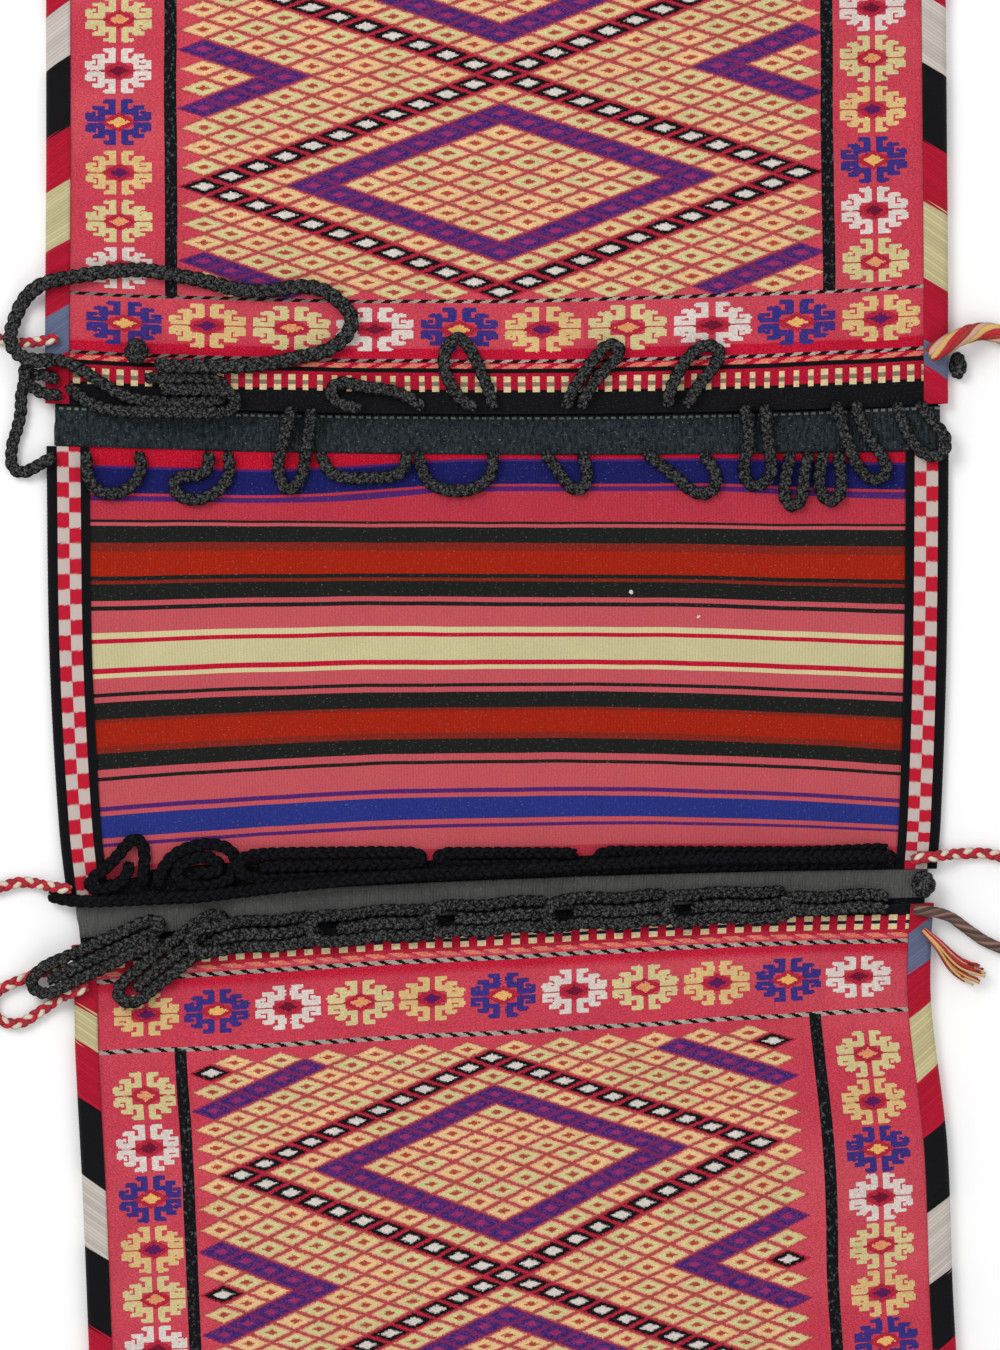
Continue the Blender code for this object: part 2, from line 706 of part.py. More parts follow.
def add_cord(name, diameter, route, laid, material):
    """A plain round cord along its route, laid over the ones before it."""
    flat = smooth_route(route)
    heights = rest_heights(flat, diameter / 2, laid)
    laid += [(p.x, p.y, z, diameter / 2) for p, z in zip(flat, heights)]
    line = [Vector((p.x, p.y, z)) for p, z in zip(flat, heights)]
    keep = thin_out(line, 3 * diameter)
    curve = bpy.data.curves.new(name, "CURVE")
    curve.dimensions = "3D"
    curve.bevel_depth = diameter / 2
    curve.bevel_resolution = 2
    curve.use_fill_caps = True
    curve.materials.append(material)
    spline = curve.splines.new("POLY")
    spline.points.add(len(keep) - 1)
    for point, i in zip(spline.points, keep):
        point.co = (*line[i], 1.0)
    thing = bpy.data.objects.new(name, curve)
    bpy.context.collection.objects.link(thing)
    return thing


def make_cords(materials):
    laid = []
    late = ("long_cord", "pile_loop", "big_loop_1")
    order = [name for name in ROUTES if name not in late]
    for name in order + [name for name in late if name != "long_cord"] + ["long_cord"]:
        diameter, route = ROUTES[name]
        add_cord(name, diameter, route, laid, materials.get(name, materials["braid"]))
        if name == "big_loop_2":
            for link in range(CHAIN_LINKS):
                add_cord(f"chain_loop_{link + 1}", LOOP_BRAID, chain_route(link), laid, materials["braid"])
    return laid


# Knots and tufts: their place on the strip, across and along, and their half sizes
TUFT_HALF = (0.0055, 0.0085, 0.0045)
KNOTS = {
    "knot_upper_left": ((-0.2150, 0.1860), (0.0075, 0.0080, 0.0070)),
    "tuft_upper_right": ((HALF_WIDTH + TUFT_HALF[0] + FIT, 0.1740), TUFT_HALF),
    "knot_lower_right": ((HALF_WIDTH - 0.0085, -0.1365), (0.0075, 0.0085, 0.0055)),
}


def make_knots(material):
    for name, ((s, t), half) in KNOTS.items():
        x, y = lay(s, t)
        bpy.ops.mesh.primitive_uv_sphere_add(segments=12, ring_count=8, radius=1.0)
        knot = bpy.context.object
        knot.name = name
        knot.location = (x, y, ground(x, y) + FIT + half[2])
        knot.scale = half
        knot.data.materials.append(material)
        knot.data.shade_smooth()


TASSEL_ROUTE = [(253, -155), (263, -165), (275, -178), (290, -184)]
TASSEL_STRANDS = 0.0050  # radius of the gathered strands at the tassel's foot


def make_tassel(material, laid):
    """The spread end of the yellow and red strands, as one tapered bundle."""
    flat = smooth_route(TASSEL_ROUTE)
    heights = rest_heights(flat, TASSEL_STRANDS, laid)
    curve = bpy.data.curves.new("tassel_lower_right", "CURVE")
    curve.dimensions = "3D"
    curve.bevel_depth = TASSEL_STRANDS
    curve.bevel_resolution = 2
    curve.use_fill_caps = True
    curve.materials.append(material)
    keep = list(range(0, len(flat) - 1, 3)) + [len(flat) - 1]
    spline = curve.splines.new("POLY")
    spline.points.add(len(keep) - 1)
    for point, i in zip(spline.points, keep):
        spread = 0.45 + 0.55 * i / (len(flat) - 1)
        point.co = (flat[i].x, flat[i].y, heights[i] - TASSEL_STRANDS * (1.0 - spread), 1.0)
        point.radius = spread
    thing = bpy.data.objects.new("tassel_lower_right", curve)
    bpy.context.collection.objects.link(thing)


def main():
    clear_scene()
    crimson = wool("crimson_wool", CRIMSON)
    black = wool("black_goat_hair", BLACK)
    charcoal = wool("charcoal_band", CHARCOAL)
    red_white = wool("red_white_plait", RED_WHITE)
    straw = wool("straw_cord", STRAW)
    brown = wool("brown_cord", BROWN)
    make_cloths(crimson)
    make_bindings(wool("wrap_wool", CRIMSON), wool("edging_wool", CRIMSON))
    make_slit_band("upper", 1, charcoal)
    make_slit_band("lower", -1, charcoal)
    materials = {
        "braid": black,
        "plait_upper_left": red_white,
        "cord_upper_right": straw,
        "cord_lower_left": red_white,
        "plait_lower_left": red_white,
        "plait_lower_right": red_white,
        "cord_lower_right": brown,
    }
    laid = make_cords(materials)
    make_knots(black)
    make_tassel(straw, laid)


main()
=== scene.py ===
# Looks of the kilim saddle bag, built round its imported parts. Metres, +Z up, in the parts' own frame.
import math
import random

import bpy
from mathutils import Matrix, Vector, noise


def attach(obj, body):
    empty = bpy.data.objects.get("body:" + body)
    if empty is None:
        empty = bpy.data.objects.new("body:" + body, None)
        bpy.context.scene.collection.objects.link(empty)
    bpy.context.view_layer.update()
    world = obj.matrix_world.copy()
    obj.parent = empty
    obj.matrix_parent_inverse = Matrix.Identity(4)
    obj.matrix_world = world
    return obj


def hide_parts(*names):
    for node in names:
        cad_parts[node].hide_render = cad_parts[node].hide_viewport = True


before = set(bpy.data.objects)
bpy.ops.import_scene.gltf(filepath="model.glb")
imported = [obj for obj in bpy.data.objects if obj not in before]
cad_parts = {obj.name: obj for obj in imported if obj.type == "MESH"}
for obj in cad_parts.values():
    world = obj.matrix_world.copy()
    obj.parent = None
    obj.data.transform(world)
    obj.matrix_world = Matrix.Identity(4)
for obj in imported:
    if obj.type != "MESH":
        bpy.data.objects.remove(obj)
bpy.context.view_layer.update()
print("frame loaded:", len(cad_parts), "parts")

# The camera looks straight down; the photograph shows 0.6 mm of the bag in each pixel, and the
# bridge's middle lies 3 mm above its own
photo = {"height": 1350, "pixel": 0.0006, "bridgeUp": 0.003}
bag = {
    "halfWidth": 0.2705, "cloth": 0.0026, "pouchGap": 0.0080, "mouthGap": 0.0078, "foldGap": 0.0018,
    "sideGap": 0.0006, "mouth": {1: 0.1530, -1: 0.1490}, "depth": {1: 0.5150, -1: 0.5270},
    "ribAt": {1: (-0.1951, 0.1985), -1: (-0.2033, 0.1958)}, "ribWidth": 0.0080, "ribHalf": 0.0037,
    "ribHeight": 0.0012, "wall": 0.0016, "fit": 0.0003,
    "wrapWidth": 0.0150, "edgingWidth": 0.0260, "edgeRoll": 0.0057, "lowerLeg": 0.0100, "wrapEnd": 0.0080,
    "band": 0.0022, "bandWidth": {1: 0.0232, -1: 0.0200}, "bandBack": {1: 0.0006, -1: 0.0035},
    "riseStart": 0.0500, "riseEnd": 0.0200, "flatHalf": 0.1700, "foldRun": 0.0900, "mouthRun": 0.0600,
    "middle": (0.0085835, -0.0073145),  # the bridge's middle lies here from the frame's own
}
# How the handwoven strip lies: along it, its middle, its half width, how far a row slopes across it
# and how far a row's ends run ahead of its middle
lie = (
    (-0.680, 0.0280, 0.2620, 0.056, 0.0000),
    (-0.400, 0.0130, 0.2590, 0.060, 0.0000),
    (-0.300, 0.0090, 0.2590, 0.060, 0.0000),
    (-0.216, 0.0020, 0.2565, 0.052, 0.0000),
    (-0.171, 0.0015, 0.2570, 0.050, -0.0030),
    (-0.132, 0.0015, 0.2600, 0.042, -0.0035),
    (-0.078, 0.0000, 0.2645, 0.0125, -0.0120),
    (0.015, -0.0012, 0.2690, 0.000, -0.0060),
    (0.129, -0.0015, 0.2705, -0.005, 0.0040),
    (0.155, -0.0020, 0.2705, 0.000, 0.0066),
    (0.220, -0.0020, 0.2705, 0.007, 0.0080),
    (0.290, -0.0020, 0.2700, 0.0225, 0.0040),
    (0.400, -0.0025, 0.2695, 0.024, 0.0030),
    (0.680, -0.0040, 0.2680, 0.024, 0.0020),
)


def smooth(low, high, value):
    share = min(max((value - low) / (high - low), 0.0), 1.0)
    return share * share * (3.0 - 2.0 * share)


def lieAt(t):
    t = min(max(t, lie[0][0]), lie[-1][0])
    k = max(i for i in range(len(lie) - 1) if lie[i][0] <= t)
    before, a, b, after = (lie[min(max(i, 0), len(lie) - 1)] for i in range(k - 1, k + 3))
    span = b[0] - a[0]
    u = (t - a[0]) / span
    found = []
    for column in range(1, 5):
        slopeA = (b[column] - before[column]) / (b[0] - before[0]) * span
        slopeB = (after[column] - a[column]) / (after[0] - a[0]) * span
        found.append((2 * u**3 - 3 * u**2 + 1) * a[column] + (u**3 - 2 * u**2 + u) * slopeA
                     + (3 * u**2 - 2 * u**3) * b[column] + (u**3 - u**2) * slopeB)
    return found


def lay(s, t, at=None):
    # where the point s across and t along the straight strip lies in the frame
    middle, half, slope, bow = at or lieAt(t)
    x = middle + s * half / bag["halfWidth"]
    y = t + slope * s + bow * (s / bag["halfWidth"]) ** 2
    return x - bag["middle"][0], y - bag["middle"][1]


def unlay(x, y):
    s, t = x, y
    for _ in range(6):
        laidX, laidY = lay(s, t)
        s += x - laidX
        t += y - laidY
    return s, t


def rise(s):
    # the cloth lifts a little towards its bindings
    half = bag["halfWidth"]
    return (bag["wall"] + bag["fit"]) * smooth(half - bag["riseStart"], half - bag["riseEnd"], abs(s))


def pouch(t):
    side = 1 if t > 0 else -1
    mouth = bag["mouth"][side]
    return mouth, mouth + bag["depth"][side]


def gapAt(s, t):
    mouth, fold = pouch(t)
    along = abs(t)
    full = bag["mouthGap"]
    full += (bag["pouchGap"] - full) * smooth(mouth, mouth + bag["mouthRun"], along)
    full = bag["foldGap"] + (full - bag["foldGap"]) * smooth(0.0, bag["foldRun"], fold - along)
    return full + (bag["sideGap"] - full) * smooth(bag["flatHalf"], bag["halfWidth"] - bag["riseEnd"], abs(s))


def frontTop(s, t):
    # the front panel's upper side, with its two raised ribs
    off = abs(s - bag["ribAt"][1 if t > 0 else -1][1 if s > 0 else 0]) / bag["ribWidth"]
    return rise(s) + 2 * bag["cloth"] + gapAt(s, t) + bag["ribHeight"] * (1.0 - smooth(0.3, 0.55, off))


def bandSpan(t):
    side = 1 if t > 0 else -1
    outer = bag["mouth"][side] - bag["bandBack"][side]
    return outer - bag["bandWidth"][side], outer


def ground(x, y):
    # height of what a cord lies on at a point
    s, t = unlay(x, y)
    mouth, fold = pouch(t)
    off = abs(s)
    if off > bag["halfWidth"] or abs(t) > fold:
        return 0.0
    cover = 2 * bag["wall"] + 2 * bag["fit"] + bag["cloth"]  # top of a bridge edging
    if abs(t) >= mouth:
        top = frontTop(s, t)
        wrapTop = cover + bag["cloth"] + bag["sideGap"]
        return max(top, wrapTop) if off > bag["halfWidth"] - bag["wrapWidth"] else top
    inner, outer = bandSpan(t)
    if inner <= abs(t) <= outer:
        return rise(s) + bag["cloth"] + bag["fit"] + bag["band"]
    if off > bag["halfWidth"] - bag["edgingWidth"] and abs(t) < inner:
        return cover
    return rise(s) + bag["cloth"]


class Wire:
    # one socket of a material; sums, products and comparisons on it add the Math nodes
    def __init__(self, tree, socket=None):
        self.tree = tree
        self.socket = socket

    def node(self, kind, settings=None, inputs=None, out=0):
        made = self.tree.nodes.new("ShaderNode" + kind)
        for name, setting in (settings or {}).items():
            if name == "stops":
                fillRamp(made.color_ramp, setting)
            else:
                setattr(made, name, setting)
        for key, given in (inputs or {}).items():
            if isinstance(given, Wire):
                self.tree.links.new(given.socket, made.inputs[key])
            else:
                made.inputs[key].default_value = given
        return Wire(self.tree, made.outputs[out])

    def maths(self, operation, a, b=0.0, c=0.0):
        return self.node("Math", {"operation": operation}, {0: a, 1: b, 2: c})

    def __abs__(self):
        return self.maths("ABSOLUTE", self)

    def floor(self):
        return self.maths("FLOOR", self)

    def larger(self, other):
        return self.maths("MAXIMUM", self, other)

    def smaller(self, other):
        return self.maths("MINIMUM", self, other)

    def between(self, low, high):
        return (self > low) * (self < high)

    def ease(self, low, high):
        # 0 below low, 1 above high, smooth between
        return self.node("MapRange", {"interpolation_type": "SMOOTHSTEP"}, {0: self, 1: low, 2: high})

    def over(self, under, colour):
        # colour where this mask is 1, under where it is 0
        return self.node("Mix", {"data_type": "RGBA"}, {0: self, 6: under, 7: colour}, 2)

    def pick(self, low, high):
        # the number high where this mask is 1, low where it is 0
        return self.node("Mix", {"data_type": "FLOAT"}, {0: self, 2: low, 3: high})

    def ramp(self, stops, interpolation="CONSTANT"):
        return self.node("ValToRGB", {"stops": (interpolation, stops)}, {0: self})

    def shade(self, colour, saturation=1.0):
        # colour made this much lighter or darker
        return self.node("HueSaturation", None, {"Saturation": saturation, "Value": self, "Color": colour})

    def chance(self):
        # a chance number for every value of this number
        return self.node("TexWhiteNoise", {"noise_dimensions": "1D"}, {1: self})

    def cellChance(self, other):
        # a chance number for every cell that this number and another name
        cell = self.node("CombineXYZ", None, {0: self, 1: other})
        return self.node("TexWhiteNoise", {"noise_dimensions": "2D"}, {0: cell})

    def speckle(self, scale, detail=2.0, roughness=0.6, stretch=(1.0, 1.0, 1.0)):
        # noise over this vector, from 0 to 1
        moved = self.node("VectorMath", {"operation": "MULTIPLY"}, {0: self, 1: stretch})
        return self.node("TexNoise", None, {"Vector": moved, "Scale": scale, "Detail": detail,
                                            "Roughness": roughness})


def addOperators():
    # Wire + 1, 1 - Wire and the like, each as one Math node
    for name, operation in (("add", "ADD"), ("sub", "SUBTRACT"), ("mul", "MULTIPLY"), ("truediv", "DIVIDE"),
                            ("mod", "FLOORED_MODULO"), ("lt", "LESS_THAN"), ("gt", "GREATER_THAN")):
        setattr(Wire, f"__{name}__", lambda wire, other, kind=operation: wire.maths(kind, wire, other))
        if name in ("add", "sub", "mul", "truediv"):
            setattr(Wire, f"__r{name}__", lambda wire, other, kind=operation: wire.maths(kind, other, wire))


addOperators()


def fillRamp(ramp, setting):
    interpolation, stops = setting
    ramp.interpolation = interpolation
    while len(ramp.elements) < len(stops):
        ramp.elements.new(0.5)
    for element, (place, colour) in zip(ramp.elements, stops):
        element.position = place
        element.color = colour


def dye(red, green, blue):
    # a wool's colour as seen on a screen, 0 to 255, as the light that it gives back
    parts = [c / 255 for c in (red, green, blue)]
    return tuple(c / 12.92 if c < 0.04045 else ((c + 0.055) / 1.055) ** 2.4 for c in parts) + (1.0,)


def newFinish(name, roughness=0.95, sheen=0.04):
    material = bpy.data.materials.new(name)
    material.use_nodes = True
    shader = material.node_tree.nodes["Principled BSDF"]
    shader.inputs["Roughness"].default_value = roughness
    shader.inputs["Specular IOR Level"].default_value = 0.10
    shader.inputs["Sheen Weight"].default_value = sheen
    shader.inputs["Sheen Roughness"].default_value = 0.5
    return material, Wire(material.node_tree), shader


def finishWith(wire, shader, colour, height, depth):
    # colour and a relief of this depth go to the shader
    links = wire.tree.links
    links.new(colour.socket, shader.inputs["Base Color"])
    bump = wire.node("Bump", None, {"Strength": 1.0, "Distance": depth, "Height": height})
    links.new(bump.socket, shader.inputs["Normal"])


def deselectAll():
    bpy.ops.object.select_all(action="DESELECT")


def addGrid(name, columns, rows, place):
    # a grid with a vertex at each column and row, moved to its place on the bag; the strip's own
    # coordinates go with it for the patterns
    deselectAll()
    across, along = len(columns) - 1, len(rows) - 1
    bpy.ops.mesh.primitive_grid_add(x_subdivisions=across, y_subdivisions=along, size=1.0)
    piece = bpy.context.object
    piece.name = name
    mesh = piece.data
    marks = []
    for vertex in mesh.vertices:
        s = columns[round((vertex.co.x + 0.5) * across)]
        row = rows[round((vertex.co.y + 0.5) * along)]
        vertex.co, mark = place(s, row)
        marks += mark
    mesh.attributes.new("weave", "FLOAT_VECTOR", "POINT").data.foreach_set("vector", marks)
    return piece


def applyModifier(piece, kind, **settings):
    bpy.context.view_layer.objects.active = piece
    modifier = piece.modifiers.new(kind.title(), kind)
    for name, setting in settings.items():
        setattr(modifier, name, setting)
    bpy.ops.object.modifier_apply(modifier=modifier.name)


def finishPiece(piece, material, slot, *nodes):
    piece.data.materials.clear()
    piece.data.materials.append(material)
    for polygon in piece.data.polygons:
        polygon.use_smooth = True
    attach(piece, "root")
    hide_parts(*nodes)


def pieceName(node):
    first, *rest = node.split("_")
    return first + "".join(word.title() for word in rest)


def spread(start, end, longest):
    count = math.ceil(abs(end - start) / longest)
    return [start + (end - start) * k / count for k in range(count + 1)]


def weaveParts(wire):
    # the place on the straight strip, as a vector and as its three numbers
    place = wire.node("Attribute", {"attribute_name": "weave"}, out=1)
    parts = wire.node("SeparateXYZ", None, {0: place})
    return (place, parts, *(Wire(wire.tree, parts.socket.node.outputs[k]) for k in (1, 2)))


def weaveOf(wire):
    # the strip's coordinates in metres, wandering a little as handwork does
    place, s, t, _ = weaveParts(wire)
    moved = wire.node("VectorMath", {"operation": "ADD"}, {0: place, 1: (3.1, 1.7, 0.0)})
    driftS = place.speckle(5.0, 3.0, 0.5, (1.0, 1.4, 1.0)) - 0.5
    driftT = moved.speckle(6.0, 3.0, 0.5) - 0.5
    return place, s + driftS * weaving["wander"], t + driftT * weaving["wander"]


weaving = {
    "stitchAcross": 0.00108, "stitchAlong": 0.00068,  # one wrapped stitch of the pattern weft
    "wander": 0.0045,  # how far the handwoven lines stray
    "depth": 0.00035, "warpPitch": 0.0018, "weftPitch": 0.0009,
}
wool = {
    "ground": dye(194, 66, 82), "groundDeep": dye(182, 34, 60), "groundPale": dye(206, 96, 102),
    "outline": dye(176, 52, 60), "outlineBrown": dye(152, 76, 64), "peach": dye(222, 186, 132),
    "straw": dye(202, 194, 138), "dot": dye(168, 66, 56), "black": dye(14, 13, 17),
    "white": dye(210, 202, 194), "poleGrey": dye(178, 168, 156), "poleFaded": dye(84, 78, 74),
    "twistPeach": dye(222, 134, 104), "checkCream": dye(222, 202, 152), "checkDull": dye(196, 168, 134),
    "violet": dye(52, 34, 104), "violetRed": dye(146, 44, 98), "blue": dye(38, 48, 124),
    "crimson": dye(184, 10, 46), "charcoal": dye(14, 21, 26), "charcoalPale": dye(52, 61, 66),
    "peachPink": dye(216, 162, 128), "madder": dye(170, 36, 56), "scarlet": dye(168, 12, 42),
    "orange": dye(158, 28, 2), "cream": dye(197, 188, 144), "deepBlue": dye(24, 27, 92),
    "rose": dye(180, 50, 66), "deepRed": dye(184, 8, 40), "fleck": dye(52, 58, 60),
    "ribFleck": dye(92, 96, 94), "lowerBand": dye(112, 109, 106), "stitchPale": dye(128, 134, 126),
    "slate": dye(104, 112, 142), "whiteYarn": dye(206, 196, 188), "lint": dye(150, 136, 128),
    "pink": dye(190, 80, 88), "violetLine": dye(78, 34, 104), "rust": dye(126, 34, 24),
    "paleCream": dye(206, 194, 148), "night": dye(26, 28, 26), "strayWhite": dye(206, 200, 190),
    "edgingRed": dye(196, 24, 50), "edgingWhite": dye(206, 190, 184),
    "violetMix": dye(112, 46, 104), "violetGround": dye(118, 38, 92),
}


def snap(along, step):
    return ((along / step).floor() + 0.5) * step


def stitchRelief(s, t):
    # a rounded bump for every stitch
    across = abs((s / weaving["stitchAcross"]) % 1.0 - 0.5) * 2.0
    along = abs((t / weaving["stitchAlong"]) % 1.0 - 0.5) * 2.0
    return 1.0 - (across * across * 0.5 + along * along * 0.5)


# The diamonds: lozenges on a slanting lattice, coloured by how far they are from a diamond's middle
field = {
    1: {"halfStep": 0.01620, "middle": 0.0030, "rowSteps": (0.00592, 0.00592, 0.00592), "first": 0.2915,
        "columns": 11.5, "rows": (-11.5, 55.5)},
    -1: {"halfStep": 0.01472, "middle": -0.0084, "rowSteps": (0.00548, 0.00640, 0.00596), "first": 0.2912,
         "columns": 12.5, "rows": (-12.5, 55.5)},
}
# Where a lozenge's fill and its heart end, as a share of the way from its middle to its outline
lozenge = {"fill": 0.82, "violetFill": 0.80, "heart": 0.29, "violetHeart": 0.30, "blackHeart": 0.42,
           "ragged": 0.14, "repeat": 22.0, "ringStep": 12.0, "looseRows": 11}
# The borders, by distance along the strip from the bridge's middle
border = {
    1: {
        "zones": ((0.0, "black"), (0.1660, "scarlet"), (0.1757, "black"), (0.1782, "crimson"),
                  (0.1915, "ground")), "pole": 0.0012, "poleDash": 0.74,
        "mouthRow": 0.2035, "mouthPitch": 0.0503, "mouthStart": -0.2235, "mouthCount": 10, "foldRow": 0.6405,
        "checks": (0.1660, 0.1757, 0.0086), "checkMiddle": dye(132, 112, 96), "faint": 1.0,
        "twist": 0.1815, "poles": (0.1845, 0.2208, 0.6228, 0.6560),
        "sideRows": {-1: (0.2385, 0.0310), 1: (0.2370, 0.0303)}, "sideAt": 0.2260,
        "mouthOrder": ("blue", "amber", "straw", "white"),
        "sideOrder": {-1: ("white", "straw", "amber", "blue"), 1: ("straw", "white", "blue", "amber")},
    },
    -1: {
        "zones": ((0.0, "black"), (0.1548, "scarlet"), (0.1634, "madder"), (0.1646, "ground"),
                  (0.1760, "ground")), "pole": 0.0013, "poleDash": 0.86,
        "mouthRow": 0.1940, "mouthPitch": 0.0450, "mouthStart": -0.2250, "mouthCount": 11, "foldRow": 0.6500,
        "checks": (0.1548, 0.1640, 0.0108), "checkMiddle": dye(26, 26, 52), "faint": 0.3,
        "twist": 0.1672, "poles": (0.1712, 0.2165, 0.6330, 0.6640),
        "sideRows": {-1: (0.2427, 0.0300), 1: (0.2425, 0.0288)}, "sideAt": 0.2270,
        "mouthOrder": ("amber", "blue", "white", "straw"),
        "sideOrder": {-1: ("straw", "white", "blue", "amber"), 1: ("straw", "amber", "blue", "white")},
    },
}
# How the thin lines along the mouth and the fold slant and repeat, and how far the deep red reaches
lines = {
    "poleSlant": 1.9, "polePitch": 0.0108, "poleGap": 0.26, "faintFrom": -0.12, "faintTo": 0.0,
    "twistSlant": 2.4, "twistPitch": 0.0150, "twistGap": 0.36, "twistHalf": 0.0014,
    "checkGap": 0.54, "checkMiddle": (0.36, 0.64), "deepEnd": 0.012, "deepFade": (0.004, 0.010),
}
rosetteDyes = {
    "petals": {"blue": dye(44, 46, 122), "amber": dye(212, 180, 122), "straw": dye(206, 188, 136),
               "white": dye(214, 202, 194)},
    "mottled": {"blue": dye(92, 40, 108), "amber": dye(204, 168, 116), "straw": dye(196, 184, 134),
                "white": dye(204, 186, 180)},
    "hearts": {"blue": dye(220, 172, 100), "amber": dye(88, 26, 84), "straw": dye(214, 146, 100),
               "white": dye(106, 20, 44)},
}
# Their stitches' size, along the sides and along the ends, and the room that they have
rosette = {"sideStitch": (0.00228, 0.00205), "endStitch": (0.0525, 0.00198), "endHalf": 0.0155,
           "fromRib": 0.0055, "outer": 0.2530, "fromPole": 0.004, "lastRoom": 0.0130,
           "heart": (2.7, 1.6), "bed": (5.4, 2.9), "splitHalf": 0.20, "splitFrom": 4.0}


def block(x, y, middleX, middleY, halfX, halfY):
    # below 1 inside a rounded block of stitches
    across, along = (x - middleX) / (halfX * 1.08), (y - middleY) / (halfY * 1.08)
    across, along = across * across, along * along
    return across * across + along * along


def rosetteShape(x, y):
    # an eight-armed hooked flower on a grid of stitches, mirrored both ways: below 1 inside it
    blocks = (
        (1.65, 4.5, 0.90, 2.1),  # upright arm
        (2.75, 6.05, 1.15, 0.60),  # its outer foot
        (2.9, 3.0, 1.35, 0.70),  # and where it joins the slanting one
        (4.6, 3.1, 0.90, 1.7),  # slanting arm
        (5.75, 4.25, 1.05, 0.60),  # its hook
        (6.2, 0.95, 2.2, 0.75),  # level arm
        (7.95, 1.85, 0.75, 1.05),  # its tip
        (6.6, 2.55, 0.60, 0.55),  # and the end that curls back
    )
    shape = None
    for one in blocks:
        found = block(x, y, *one)
        shape = found if shape is None else shape.smaller(found)
    return shape


def orderRamp(index, order, dyes):
    stops = [(k / len(order), dyes[name]) for k, name in enumerate(order)]
    return ((index % float(len(order))) / len(order) + 0.02).ramp(stops)


def diamondColours(s, t, side, under, jitter):
    plan = field[side]
    i = (s - plan["middle"]) / plan["halfStep"]
    # the rows are beaten tighter at first, then looser
    tight, loose, even = plan["rowSteps"]
    t = t - plan["first"]
    looseRun = lozenge["looseRows"] * loose
    j = t.smaller(0.0) / tight + t.larger(0.0).smaller(looseRun) / loose
    j = j + (t - looseRun).larger(0.0) / even
    a, b = i + j, i - j
    middleA = (a / 2.0).floor() * 2.0 + 1.0
    middleB = (b / 2.0).floor() * 2.0 + 1.0
    inside = abs(a - middleA).larger(abs(b - middleB))  # 0 in a lozenge's middle, 1 on its outline
    column = (middleA + middleB) * 0.5
    row = (middleA - middleB) * 0.5
    half = lozenge["repeat"] / 2
    ring = (abs(column) + abs((row.larger(-half) + half) % lozenge["repeat"] - half)) % lozenge["ringStep"]
    isViolet = ring.between(6.5, 7.5)
    isBlack = ring > 10.5
    pale = (column.cellChance(row) * 0.45 + row.chance() * 0.55).ease(0.42, 0.58)
    yellow = pale.over(wool["peach"], wool["straw"])
    yellow = inside.ease(0.55, 0.80).over(yellow, wool["peachPink"])
    violet = (jitter.ease(0.35, 0.90) * 0.9).over(wool["violet"], wool["violetMix"])
    fill = isBlack.over(isViolet.over(yellow, violet), wool["black"])
    heart = isBlack.over(isViolet.over(wool["dot"], wool["violetRed"]), wool["white"])
    outline = inside.ease(0.80, 0.98).over(wool["outline"], wool["outlineBrown"])
    outline = jitter.ease(0.60, 0.90).over(outline, wool["ground"])
    between = isBlack.over(isViolet.over(outline, wool["violetGround"]), wool["madder"])
    ragged = inside + (jitter - 0.5) * lozenge["ragged"]
    outside = (ragged - isViolet.pick(lozenge["fill"], lozenge["violetFill"])).ease(-0.06, 0.06)
    heartEnd = isBlack.pick(isViolet.pick(lozenge["heart"], lozenge["violetHeart"]), lozenge["blackHeart"])
    colour = (ragged - heartEnd).ease(-0.08, 0.08).over(heart, outside.over(fill, between))
    mask = (abs(column) < plan["columns"]) * row.between(*plan["rows"])
    return mask.over(under, colour), mask * (1.0 - outside)


